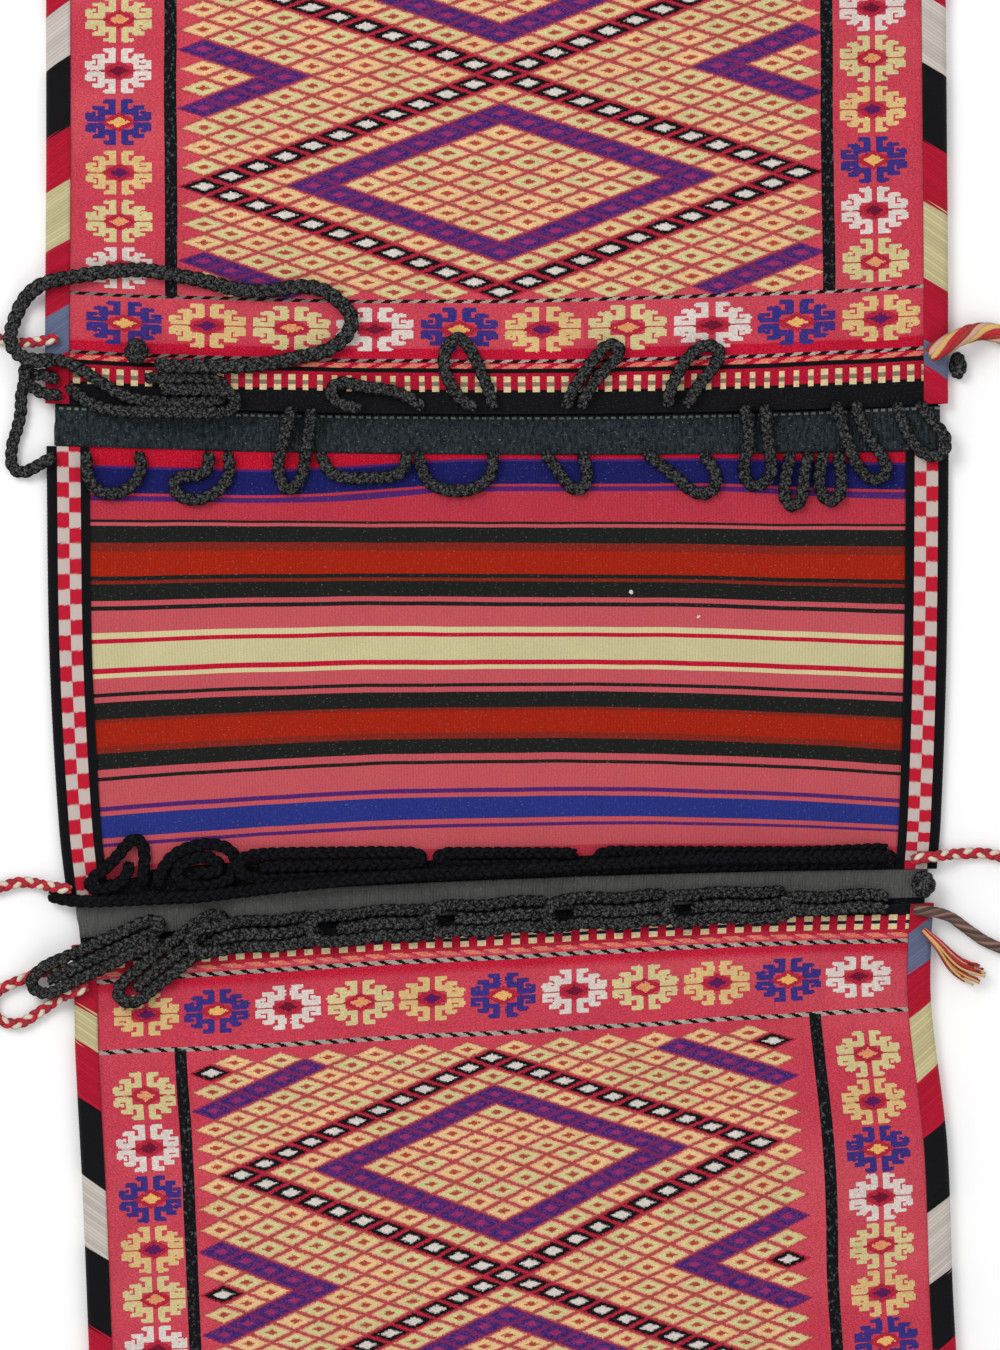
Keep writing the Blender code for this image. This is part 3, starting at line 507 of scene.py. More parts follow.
def rosetteColours(s, t, side, under, jitter, fromRib):
    # rosettes along the mouth, along the fold and up both sides
    plan = border[side]
    isRight = s > 0.0
    rowAt = (t > (plan["mouthRow"] + plan["foldRow"]) / 2).pick(plan["mouthRow"], plan["foldRow"])
    isEnd = abs(t - rowAt) < rosette["endHalf"]
    endIndex = ((s - plan["mouthStart"]) / plan["mouthPitch"] + 0.5).floor()
    rows = plan["sideRows"]
    sideStart, sidePitch = (isRight.pick(left, right) for left, right in zip(rows[-1], rows[1]))
    sideIndex = ((t - sideStart) / sidePitch + 0.5).floor()
    sideX = (abs(s) - plan["sideAt"]) / rosette["sideStitch"][0]
    sideY = (t - sideStart - sideIndex * sidePitch) / rosette["sideStitch"][1]
    endX = s - plan["mouthStart"] - endIndex * plan["mouthPitch"]
    endX = endX / (plan["mouthPitch"] * rosette["endStitch"][0])
    endY = (t - rowAt) / rosette["endStitch"][1]
    x, y = abs(isEnd.pick(sideX, endX)), abs(isEnd.pick(sideY, endY))

    def dyed(dyes):
        left, right = (orderRamp(sideIndex, plan["sideOrder"][hand], dyes) for hand in (-1, 1))
        return isEnd.over(isRight.over(left, right), orderRamp(endIndex, plan["mouthOrder"], dyes))

    low, high = plan["poles"][1] + rosette["fromPole"], plan["poles"][2] - rosette["fromPole"]
    start, pitch = rows[-1]
    last = int((high - start - rosette["lastRoom"]) / pitch)
    onSide = (fromRib > rosette["fromRib"]) * (abs(s) < rosette["outer"]) * t.between(low, high)
    onSide = onSide * sideIndex.between(-0.5, last + 0.5)
    region = onSide.larger(isEnd * endIndex.between(-0.5, plan["mouthCount"] - 0.5))
    petal = region * (rosetteShape(x, y) + (jitter - 0.5) * 0.16 < 1.0)
    petals, mottled, hearts = (dyed(rosetteDyes[kind]) for kind in ("petals", "mottled", "hearts"))
    petalColour = (jitter.ease(0.45, 0.9) * 0.75).over(petals, mottled)
    split = (y < rosette["splitHalf"]) * (x > rosette["splitFrom"])
    petalColour = (split * 0.35).over(petalColour, wool["outlineBrown"])
    heart = x / rosette["heart"][0] + y / rosette["heart"][1] + (jitter - 0.5) * 0.3
    bed = x / rosette["bed"][0] + y / rosette["bed"][1]
    colour = (region * (bed < 1.0)).over(under, wool["madder"])
    colour = petal.over(colour, petalColour)
    return (region * (heart < 1.0)).over(colour, hearts), petal


def panelColours(place, s, t, side):
    plan = border[side]
    depth = bag["depth"][side] + bag["mouth"][side]
    # every stitch has its own chance number, which makes edges ragged and shades uneven
    jitter = s.cellChance(t)
    abrash = place.speckle(4.0, 3.0, 0.6, (0.7, 3.0, 1.0)).ease(0.35, 0.7)
    pinks = abrash.over(wool["groundDeep"], wool["groundPale"])
    pinks = s.node("Mix", {"data_type": "RGBA"}, {0: 0.72, 6: pinks, 7: wool["ground"]}, 2)
    colour = (t / depth).ramp([(start / depth, wool[name]) for start, name in plan["zones"]])
    colour = (t > plan["zones"][-1][0]).over(colour, pinks)
    beyond = t - plan["poles"][0]
    deep = beyond.between(0.0, lines["deepEnd"]) * (1.0 - beyond.ease(*lines["deepFade"]))
    colour = (deep * 0.85).over(colour, wool["crimson"])
    colour, raised = diamondColours(s, t, side, colour, jitter)
    fromRib = abs(s) - (s > 0.0).pick(-bag["ribAt"][side][0], bag["ribAt"][side][1])
    colour, petal = rosetteColours(s, t, side, colour, jitter, fromRib)
    # barber-pole lines, the twisted red line and the checks along the mouth
    faint = (1.0 - s.ease(lines["faintFrom"], lines["faintTo"])) * plan["faint"]
    greys = (jitter * 0.5).larger(faint * 0.75).over(wool["poleGrey"], wool["poleFaded"])
    for at in plan["poles"]:
        slant = ((s - (t - at) * lines["poleSlant"]) / lines["polePitch"]) % 1.0
        pole = slant.between(lines["poleGap"], plan["poleDash"]).over(wool["black"], greys)
        colour = (abs(t - at) < plan["pole"]).over(colour, pole)
    twist = ((s - (t - plan["twist"]) * lines["twistSlant"]) / lines["twistPitch"]) % 1.0
    peach = (jitter * 0.6).over(wool["twistPeach"], wool["ground"])
    twisted = (abs(t - plan["twist"]) < lines["twistHalf"]) * (twist > lines["twistGap"])
    colour = twisted.over(colour, peach)
    low, high, pitch = plan["checks"]
    along = (t - low) / (high - low)
    check = (jitter * 0.7).over(wool["checkCream"], wool["checkDull"])
    check = along.between(*lines["checkMiddle"]).over(check, plan["checkMiddle"])
    colour = (along.between(0.0, 1.0) * (((s / pitch) % 1.0) > lines["checkGap"])).over(colour, check)
    # black ribs between the field and the side borders
    onRib = (abs(fromRib) < bag["ribHalf"]) * t.between(plan["poles"][1], plan["poles"][2])
    return onRib.over(colour, wool["black"]), raised.larger(petal), onRib


def woolliness(place, colour, amount):
    # every stitch a little lighter or darker, and a bloom of worn fibre over the whole
    grain = place.speckle(900.0, 2.0, 0.7, (1.0, 1.6, 1.0))
    cloud = place.speckle(30.0, 4.0, 0.65)
    light = (grain - 0.5) * amount + (cloud - 0.5) * amount * 0.8 + 1.0
    return light.shade(colour, (grain - 0.5) * amount * -0.8 + 1.0)


def sumacFinish(name, side):
    material, wire, shader = newFinish(name)
    place, s, t = weaveOf(wire)
    if side < 0:
        t = 0.0 - t
    stitchS, stitchT = snap(s, weaving["stitchAcross"]), snap(t, weaving["stitchAlong"])
    colour, raised, onRib = panelColours(place, stitchS, stitchT, side)
    yarn = (stitchS + 1.0).cellChance(stitchT + 1.0)
    colour = woolliness(place, (yarn * 0.26 + 0.87).shade(colour), 0.46)
    flecks = place.speckle(640.0, 2.0, 0.6, (1.0, 1.3, 1.0)).ease(0.50, 0.72) * 0.8
    colour = ((t < border[side]["zones"][1][0]) * flecks * 0.4).over(colour, wool["fleck"])
    tufts = place.speckle(420.0, 2.0, 0.7, (1.0, 0.7, 1.0)).ease(0.52, 0.74)
    colour = (onRib * tufts * 0.8).over(colour, wool["ribFleck"])
    height = stitchRelief(s, t) * 0.55 + raised * 0.5 + place.speckle(1400.0) * 0.5
    finishWith(wire, shader, colour, height, weaving["depth"])
    return material


def weftFinish(name, makeColour, stepT, depth, flecks):
    # a weft-faced weave: fine ribs across the strip's length
    material, wire, shader = newFinish(name)
    place, s, t = weaveOf(wire)
    rib = abs((s / weaving["warpPitch"]) % 1.0 - 0.5) * 2.0
    weft = abs(((t + rib * 0.0003) / stepT) % 1.0 - 0.5) * 2.0
    spots = place.speckle(430.0, 2.0, 0.7, (1.0, 2.2, 1.0)).ease(0.60, 0.78) * flecks
    colour = woolliness(place, spots.over(makeColour(place, s, t), wool["lint"]), 0.34)
    height = (1.0 - rib * rib) * 0.7 + (1.0 - weft) * 0.3 + place.speckle(1300.0) * 0.4
    finishWith(wire, shader, colour, height, depth)
    return material


# The bridge's stripes: where each ends along the strip, in millimetres from its middle, and its wool
bridgeStripes = (
    (-112.5, "black"), (-105.8, "rose"), (-93.5, "pink"), (-91.3, "violetLine"), (-88.5, "pink"),
    (-75.3, "blue"), (-72.9, "pink"), (-70.5, "violetLine"), (-56.0, "pink"), (-53.6, "night"),
    (-49.6, "pink"), (-41.0, "night"), (-37.1, "rust"), (-24.5, "orange"), (-22.1, "rust"), (-12.9, "night"),
    (-10.1, "pink"), (-7.7, "night"), (0.7, "pink"), (3.3, "paleCream"), (6.0, "crimson"),
    (19.8, "cream"), (22.3, "crimson"), (25.4, "paleCream"), (37.8, "pink"), (40.4, "night"),
    (43.2, "pink"), (52.8, "night"), (54.6, "rust"), (57.3, "night"), (70.7, "orange"),
    (75.5, "rust"), (85.1, "night"), (86.9, "pink"), (88.4, "night"), (98.6, "rose"),
    (101.6, "violetLine"), (103.4, "rose"), (116.9, "deepBlue"), (118.5, "violetLine"), (129.0, "deepRed"),
)
# Under the piled loops the black stripe is painted 7 mm wider, as painted shade between them
bridge = {"half": 0.1290, "backAt": 0.1650, "askewFrom": 0.092, "askewFull": 0.107, "piled": 7.0,
          "tuftSize": 24.0}
backStripes = {"repeat": 0.160, "stripes": (
    (0.0, "crimson"), (0.030, "night"), (0.036, "pink"), (0.060, "orange"), (0.082, "night"),
    (0.088, "crimson"), (0.118, "blue"), (0.136, "violetLine"), (0.140, "pink"),
)}


def stripeRamp(along, low, inside):
    # the stripes from low on, in millimetres, read at along
    high = inside[-1][0]
    starts = [low] + [end for end, _ in inside[:-1]]
    stops = [((start - low) / (high - low), wool[name]) for start, (_, name) in zip(starts, inside)]
    return ((along - low) / (high - low)).ramp(stops)


def bridgeColour(place, s, t):
    # the stripes by the upper band run askew to it
    askew = s.ease(-0.15, 0.0) * 8.0 - s.ease(0.12, 0.25) * 3.5
    along = t * 1000.0 - askew * t.ease(bridge["askewFrom"], bridge["askewFull"])
    # painted shade: under the piled loops at the left the black stripe is painted wider, so the gaps between
    # the loops look dark
    piled = s.ease(-0.230, -0.208) * (1.0 - s.ease(-0.146, -0.124))
    along = along - piled * (1.0 - t.ease(-0.110, -0.104)) * bridge["piled"]
    half = len(bridgeStripes) // 2
    middle = bridgeStripes[half - 1][0]
    low = stripeRamp(along, -1000 * bridge["half"], bridgeStripes[:half])
    stripes = (along > middle).over(low, stripeRamp(along, middle, bridgeStripes[half:]))
    repeat = backStripes["repeat"]
    stops = [(at / repeat, wool[name]) for at, name in backStripes["stripes"]]
    back = ((abs(t) % repeat) / repeat).ramp(stops)
    back = (abs(t) < bridge["backAt"]).over(back, wool["charcoal"])
    colour = (abs(t) > bridge["half"]).over(stripes, back)
    # a few stray tufts of white wool
    tufts = s.node("TexVoronoi", None, {"Vector": place, "Scale": bridge["tuftSize"]})
    chance = s.node("SeparateXYZ", None, {0: Wire(s.tree, tufts.socket.node.outputs[1])})
    spot = place.speckle(700.0) * 0.05 + tufts
    return ((spot < 0.060) * (chance > 0.86)).over(colour, wool["strayWhite"])


paleRow = {"inwards": 0.0016, "half": 0.0007, "wander": 0.004, "pitch": 0.0046, "gap": 0.45}


def charcoalColour(place, s, t):
    mottle = place.speckle(260.0, 3.0, 0.75, (2.0, 0.8, 1.0))
    dark = mottle.ease(0.3, 0.75).over(wool["charcoal"], wool["charcoalPale"])
    grey = s.node("Mix", {"data_type": "RGBA"}, {0: 0.48, 6: dark, 7: wool["lowerBand"]}, 2)
    # a row of pale stitches holds the upper band along the mouth
    row = abs(t - (bandSpan(1)[1] - paleRow["inwards"])) < paleRow["half"]
    dash = ((s + place.speckle(40.0) * paleRow["wander"]) / paleRow["pitch"]) % 1.0
    stitched = (row * (dash > paleRow["gap"]) * 0.75).over(dark, wool["stitchPale"])
    return (t < 0.0).over(stitched, grey)


# The pieces of cloth. Their outer side is laid out first and gets its thickness from Solidify
cloth = {"column": 0.0030, "row": 0.0030, "backRow": 0.0100, "ripple": 0.0011, "rippleSize": 11.0,
         "bridgeRipple": 14.0, "seed": 3.7, "hem": 0.012, "foldOver": 0.004, "calmMouth": 0.02,
         "calmFold": 0.05, "calmSide": 0.04, "lipDrop": 0.0007, "lipRun": 0.0018, "seam": 0.002}


def ripple(x, y, size):
    # the unevenness of handwoven cloth lying loose, from 0 to 1
    return 0.5 + 0.5 * noise.noise(Vector((x * size, y * size, cloth["seed"])))


def turnAt(side):
    # where the cloth starts to turn round at a bottom fold
    return pouch(side)[1] - bag["cloth"] - bag["foldGap"] / 2


def foldPoint(s, side, turned, gap):
    # a bottom fold's outer side, turned this far from the seam in its middle
    half = gap / 2
    turn = turnAt(side)
    centre = rise(s) + bag["cloth"] + half
    reach = half + (bag["cloth"] if turned >= 0 else 0.0)
    return side * (turn + reach * math.cos(turned)), centre + reach * math.sin(turned)


clothEdge = bag["halfWidth"] - bag["edgeRoll"] - bag["fit"]


def clothColumns():
    return spread(-clothEdge, clothEdge, cloth["column"])


def addFront(name, side, material):
    mouth, fold = pouch(side)
    turn = turnAt(side)
    rows = [("flat", t) for t in spread(mouth, turn, cloth["row"])]
    rows += [("turn", math.pi / 2 * share) for share in (0.75, 0.5, 0.25, 0.02)]
    if side < 0:
        rows.reverse()

    def place(s, row):
        kind, value = row
        if kind == "flat":
            t = side * value
            x, y = lay(s, t)
            calm = smooth(mouth, mouth + cloth["calmMouth"], value)
            calm *= smooth(0.0, cloth["calmFold"], fold - value)
            calm *= smooth(0.0, cloth["calmSide"], bag["halfWidth"] - abs(s))
            z = frontTop(s, t) + 2.0 * cloth["ripple"] * (ripple(x, y, cloth["rippleSize"]) - 0.5) * calm
            z -= cloth["lipDrop"] * (1.0 - smooth(0.0, cloth["lipRun"], value - mouth))
            return (x, y, z), (s, t, 0.0)
        t, z = foldPoint(s, side, value, gapAt(s, side * turn))
        beyond = (1.0 - value / (math.pi / 2)) * cloth["seam"]
        return (*lay(s, t), z), (s, side * (abs(t) + beyond), 0.0)

    piece = addGrid(name, clothColumns(), rows, place)
    applyModifier(piece, "SOLIDIFY", thickness=bag["cloth"], offset=-1.0)
    finishPiece(piece, material, "sumac_weave", "front_panel_" + ("upper" if side > 0 else "lower"))


def addBacks(material):
    inside = spread(-bag["mouth"][-1], bag["mouth"][1], cloth["row"])[1:-1]
    rows = [("flat", 1 if t > 0 else -1, abs(t)) for t in inside]
    for side in (-1, 1):
        half = [("turn", side, -math.pi / 2 * share) for share in (0.02, 0.25, 0.5, 0.75)]
        half += [("flat", side, t) for t in reversed(spread(pouch(side)[0], turnAt(side), cloth["backRow"]))]
        rows = half + rows if side < 0 else rows + half[::-1]

    def place(s, row):
        kind, side, value = row
        if kind == "turn":
            t, z = foldPoint(s, side, value, gapAt(s, side * turnAt(side)))
            return (*lay(s, t), z), (s, t, 0.0)
        t = side * value
        x, y = lay(s, t)
        calm = smooth(0.004, 0.04, pouch(side)[0] - value) * smooth(0.02, 0.05, bag["halfWidth"] - abs(s))
        z = rise(s) + bag["cloth"] + 1.6 * cloth["ripple"] * ripple(x, y, cloth["bridgeRipple"]) * calm
        return (x, y, z), (s, t, 0.0)

    piece = addGrid("backsAndBridge", clothColumns(), rows, place)
    applyModifier(piece, "SOLIDIFY", thickness=bag["cloth"], offset=-1.0)
    finishPiece(piece, material, "striped_weave", "backs_and_bridge")


addBacks(weftFinish("stripedWeave", bridgeColour, weaving["weftPitch"], 0.0004, 0.5))
addFront("frontPanelUpper", 1, sumacFinish("upperWeave", 1))
addFront("frontPanelLower", -1, sumacFinish("lowerWeave", -1))
print("cloth laid out")


# Slit bands: dark strips with rounded ribs along the strip's length
slitBand = {"ridge": 0.0023, "ridgeDepth": 0.00035, "columnsInRidge": 4,
            "rows": (0.0, 0.06, 0.2, 0.35, 0.5, 0.65, 0.8, 0.94, 1.0),
            "crown": 8.0, "edgeDrop": 0.0005, "uneven": 0.0005, "unevenSize": 40.0, "under": 0.0006}


def addSlitBand(name, side, material):
    inner, outer = bandSpan(side)
    columns = spread(-clothEdge, clothEdge, slitBand["ridge"] / slitBand["columnsInRidge"])
    rows = [inner + (outer - inner) * share for share in slitBand["rows"]]
    rows = [side * t for t in (rows if side > 0 else reversed(rows))]

    def place(s, t):
        share = (abs(t) - inner) / (outer - inner)
        crown = min(1.0, slitBand["crown"] * share, slitBand["crown"] * (1.0 - share))
        x, y = lay(s, t)
        wave = math.cos(2 * math.pi * (s / slitBand["ridge"] + 0.25 * math.sin(6.0 * share)))
        z = rise(s) + bag["cloth"] + bag["fit"] + bag["band"] - slitBand["edgeDrop"] * (1.0 - crown)
        z += slitBand["ridgeDepth"] * (wave - 1.0)
        z += slitBand["uneven"] * (ripple(x, y, slitBand["unevenSize"]) - 0.5)
        return (x, y, z), (s, t, 0.0)

    piece = addGrid(name, columns, rows, place)
    applyModifier(piece, "SOLIDIFY", thickness=bag["band"] - slitBand["under"], offset=-1.0)
    finishPiece(piece, material, "charcoal_band", "slit_band_" + ("upper" if side > 0 else "lower"))


bandWeave = weftFinish("charcoalBand", charcoalColour, 0.0016, 0.0004, 0.9)
addSlitBand("slitBandUpper", 1, bandWeave)
addSlitBand("slitBandLower", -1, bandWeave)
print("slit bands done")

# Bindings: yarn wrapped round the edges, in blocks of colour
binding = {
    "step": 0.00062, "ridge": 0.0023, "ridgeDepth": 0.00050, "slant": 0.75,
    "round": 2.2, "lowerRound": 3.2, "across": 0.0024, "lip": 0.0002, "lipDrop": 0.0004,
    "slope": 650.0, "shift": 8.0, "ragged": 3.0, "first": 140.0,
    "repeat": ("slate", "crimson", "paleCream", "crimson", "black", "whiteYarn"), "repeatBlock": 40.0,
}
# Where each block of a binding ends, in millimetres from the bridge's middle, and its wool
bindingBlocks = {
    "wrap_upper_left": [(182.3, "crimson"), (211.4, "slate"), (252.9, "crimson"), (293.3, "paleCream"),
                        (327.3, "crimson"), (368.3, "black"), (399.5, "whiteYarn"), (440.0, "crimson")],
    "wrap_upper_right": [(171.3, "crimson"), (188.3, "slate"), (224.3, "crimson"), (269.1, "paleCream"),
                         (305.2, "crimson"), (351.6, "black"), (392.6, "whiteYarn"), (430.0, "crimson")],
    "wrap_lower_left": [(157.0, "crimson"), (167.1, "slate"), (190.6, "crimson"), (214.2, "paleCream"),
                        (246.6, "crimson"), (293.0, "black"), (334.5, "whiteYarn"), (382.6, "black"),
                        (420.0, "crimson")],
    "wrap_lower_right": [(163.9, "crimson"), (190.4, "slate"), (217.7, "crimson"), (258.4, "paleCream"),
                         (291.7, "crimson"), (338.1, "black"), (382.3, "whiteYarn"), (420.4, "black"),
                         (450.0, "crimson")],
}


def bindingFinish(name, blocks):
    material, wire, shader = newFinish(name)
    place, s, t, ridge = weaveParts(wire)
    along = abs(t) * 1000.0 + (ridge.floor().chance() - 0.5) * binding["ragged"]
    along = along + (abs(s) - bag["halfWidth"]) * binding["slope"] + binding["shift"]
    full = list(blocks)
    for woolName in binding["repeat"]:
        full.append((full[-1][0] + binding["repeatBlock"], woolName))
    yarn = (ridge.floor() + 7.0).chance()
    colour = (yarn * 0.24 + 0.88).shade(stripeRamp(along, binding["first"], full))
    # painted shade: a little darker in the groove between two turns of the yarn
    groove = (abs(ridge % 1.0 - 0.5) * 2.0).ease(0.45, 1.0)
    colour = woolliness(place, (1.0 - groove * 0.20).shade(colour), 0.42)
    fleck = place.speckle(600.0, 2.0, 0.6, (1.0, 0.5, 1.0)).ease(0.60, 0.78) * 0.5
    finishWith(wire, shader, fleck.over(colour, wool["lint"]), place.speckle(1200.0, 3.0), 0.0003)
    return material


def sectionPoints(side, slotTop, reach):
    # a rounded channel that grips the cloth's edge, as its outline and whether a point can be ridged
    outside, wall, lip = bag["halfWidth"], bag["wall"], binding["lip"]
    top, radius = slotTop + wall, binding["round"] * wall
    middle = top / 2
    outer = [(outside - bag["lowerLeg"], 0.0, 0.0), (outside - binding["lowerRound"] * wall, 0.0, 0.0)]
    for k in range(9):
        turned = -math.pi / 2 + math.pi * k / 8
        bulge = (outside - radius + radius * math.cos(turned), middle + middle * math.sin(turned))
        outer.append((*bulge, smooth(-0.9, -0.2, math.sin(turned))))
    count = max(3, round(reach / binding["across"]))
    outer += [(outside - radius - (reach - radius) * k / count, top, 1.0) for k in range(1, count)]
    outer += [(outside - reach + lip, top - binding["lipDrop"], 0.6), (outside - reach, slotTop + lip, 0.0)]
    outer += [(outside - bag["edgeRoll"], slotTop, 0.0), (outside - bag["edgeRoll"], wall, 0.0),
              (outside - bag["lowerLeg"], wall, 0.0)]
    return [(side * s, z, share) for s, z, share in outer]


def addBinding(node, side, sign, start, end, reach, slotTop, material, slot, grooves=()):
    ring = sectionPoints(side, slotTop, reach)
    ring.append(ring[0])
    top = slotTop + bag["wall"]
    ribbon = list(range(len(ring)))[::-side]

    def place(k, t):
        s, z, share = ring[k]
        lean = binding["slant"] * (abs(s) - bag["halfWidth"]) * sign
        phase = (t + lean) / binding["ridge"]
        lift = binding["ridgeDepth"] * share * (abs(math.sin(math.pi * phase)) ** 0.7 - 1.0)
        for at, half, depth in grooves:
            lift -= depth * share * (1.0 - smooth(0.0, half, abs(abs(s) - at)))
        onTop = z > 0.6 * top
        x, y = lay(s + (0.0 if onTop else side * lift), t)
        return (x, y, z + (lift if onTop else 0.0)), (s, t, phase)

    piece = addGrid(pieceName(node), ribbon, spread(start, end, binding["step"]), place)
    bpy.ops.object.mode_set(mode="EDIT")
    bpy.ops.mesh.select_all(action="SELECT")
    bpy.ops.mesh.remove_doubles(threshold=0.000001)
    bpy.ops.mesh.fill_holes(sides=0)
    bpy.ops.mesh.normals_make_consistent(inside=False)
    bpy.ops.object.mode_set(mode="OBJECT")
    finishPiece(piece, material, slot, node)


wrapSlot = bag["wall"] + 2 * bag["fit"] + 2 * bag["cloth"] + bag["sideGap"]
for rowName, sign in (("upper", 1), ("lower", -1)):
    mouthAt, foldAt = pouch(sign)
    spanEnds = sorted((sign * (mouthAt + bag["fit"]), sign * (foldAt - bag["wrapEnd"])))
    for columnName, side in (("left", -1), ("right", 1)):
        node = f"wrap_{rowName}_{columnName}"
        finish = bindingFinish(node, bindingBlocks[node])
        addBinding(node, side, sign, *spanEnds, bag["wrapWidth"], wrapSlot, finish, "overcast_binding")

# Edgings: their black roll, their checks and the grooves between them
edging = {"roll": 0.0066, "check": 0.0070, "tall": 0.0084, "grooveHalf": 0.0011, "groove": 0.0007}


def edgingFinish(name):
    material, wire, shader = newFinish(name)
    place, s, t, _ = weaveParts(wire)
    off = bag["halfWidth"] - abs(s)
    t = t + (place.speckle(9.0, 2.0, 0.5) - 0.5) * 0.004
    column = ((off - edging["roll"]) / edging["check"]).floor()
    step = ((t / edging["tall"]).floor() + column) % 2.0
    check = (step > 0.5).over(wool["edgingRed"], wool["edgingWhite"])
    colour = off.between(edging["roll"], edging["roll"] + 2 * edging["check"]).over(wool["black"], check)
    colour = woolliness(place, colour, 0.34)
    fleck = place.speckle(520.0, 2.0, 0.6, (1.0, 1.6, 1.0)).ease(0.62, 0.76) * 0.5
    finishWith(wire, shader, fleck.over(colour, wool["charcoalPale"]), place.speckle(1200.0, 3.0), 0.0003)
    return material


edgingWeave = edgingFinish("checkedEdging")
edgingSlot = bag["wall"] + 2 * bag["fit"] + bag["cloth"]
grooves = [(bag["halfWidth"] - edging["roll"] - edging["check"] * k, edging["grooveHalf"], edging["groove"])
           for k in range(3)]
for columnName, side in (("left", -1), ("right", 1)):
    low, high = -bandSpan(-1)[0] + bag["fit"], bandSpan(1)[0] - bag["fit"]
    addBinding(f"edging_{columnName}", side, 1, low, high, bag["edgingWidth"], edgingSlot, edgingWeave,
               "checked_edging", grooves)
print("bindings wrapped")

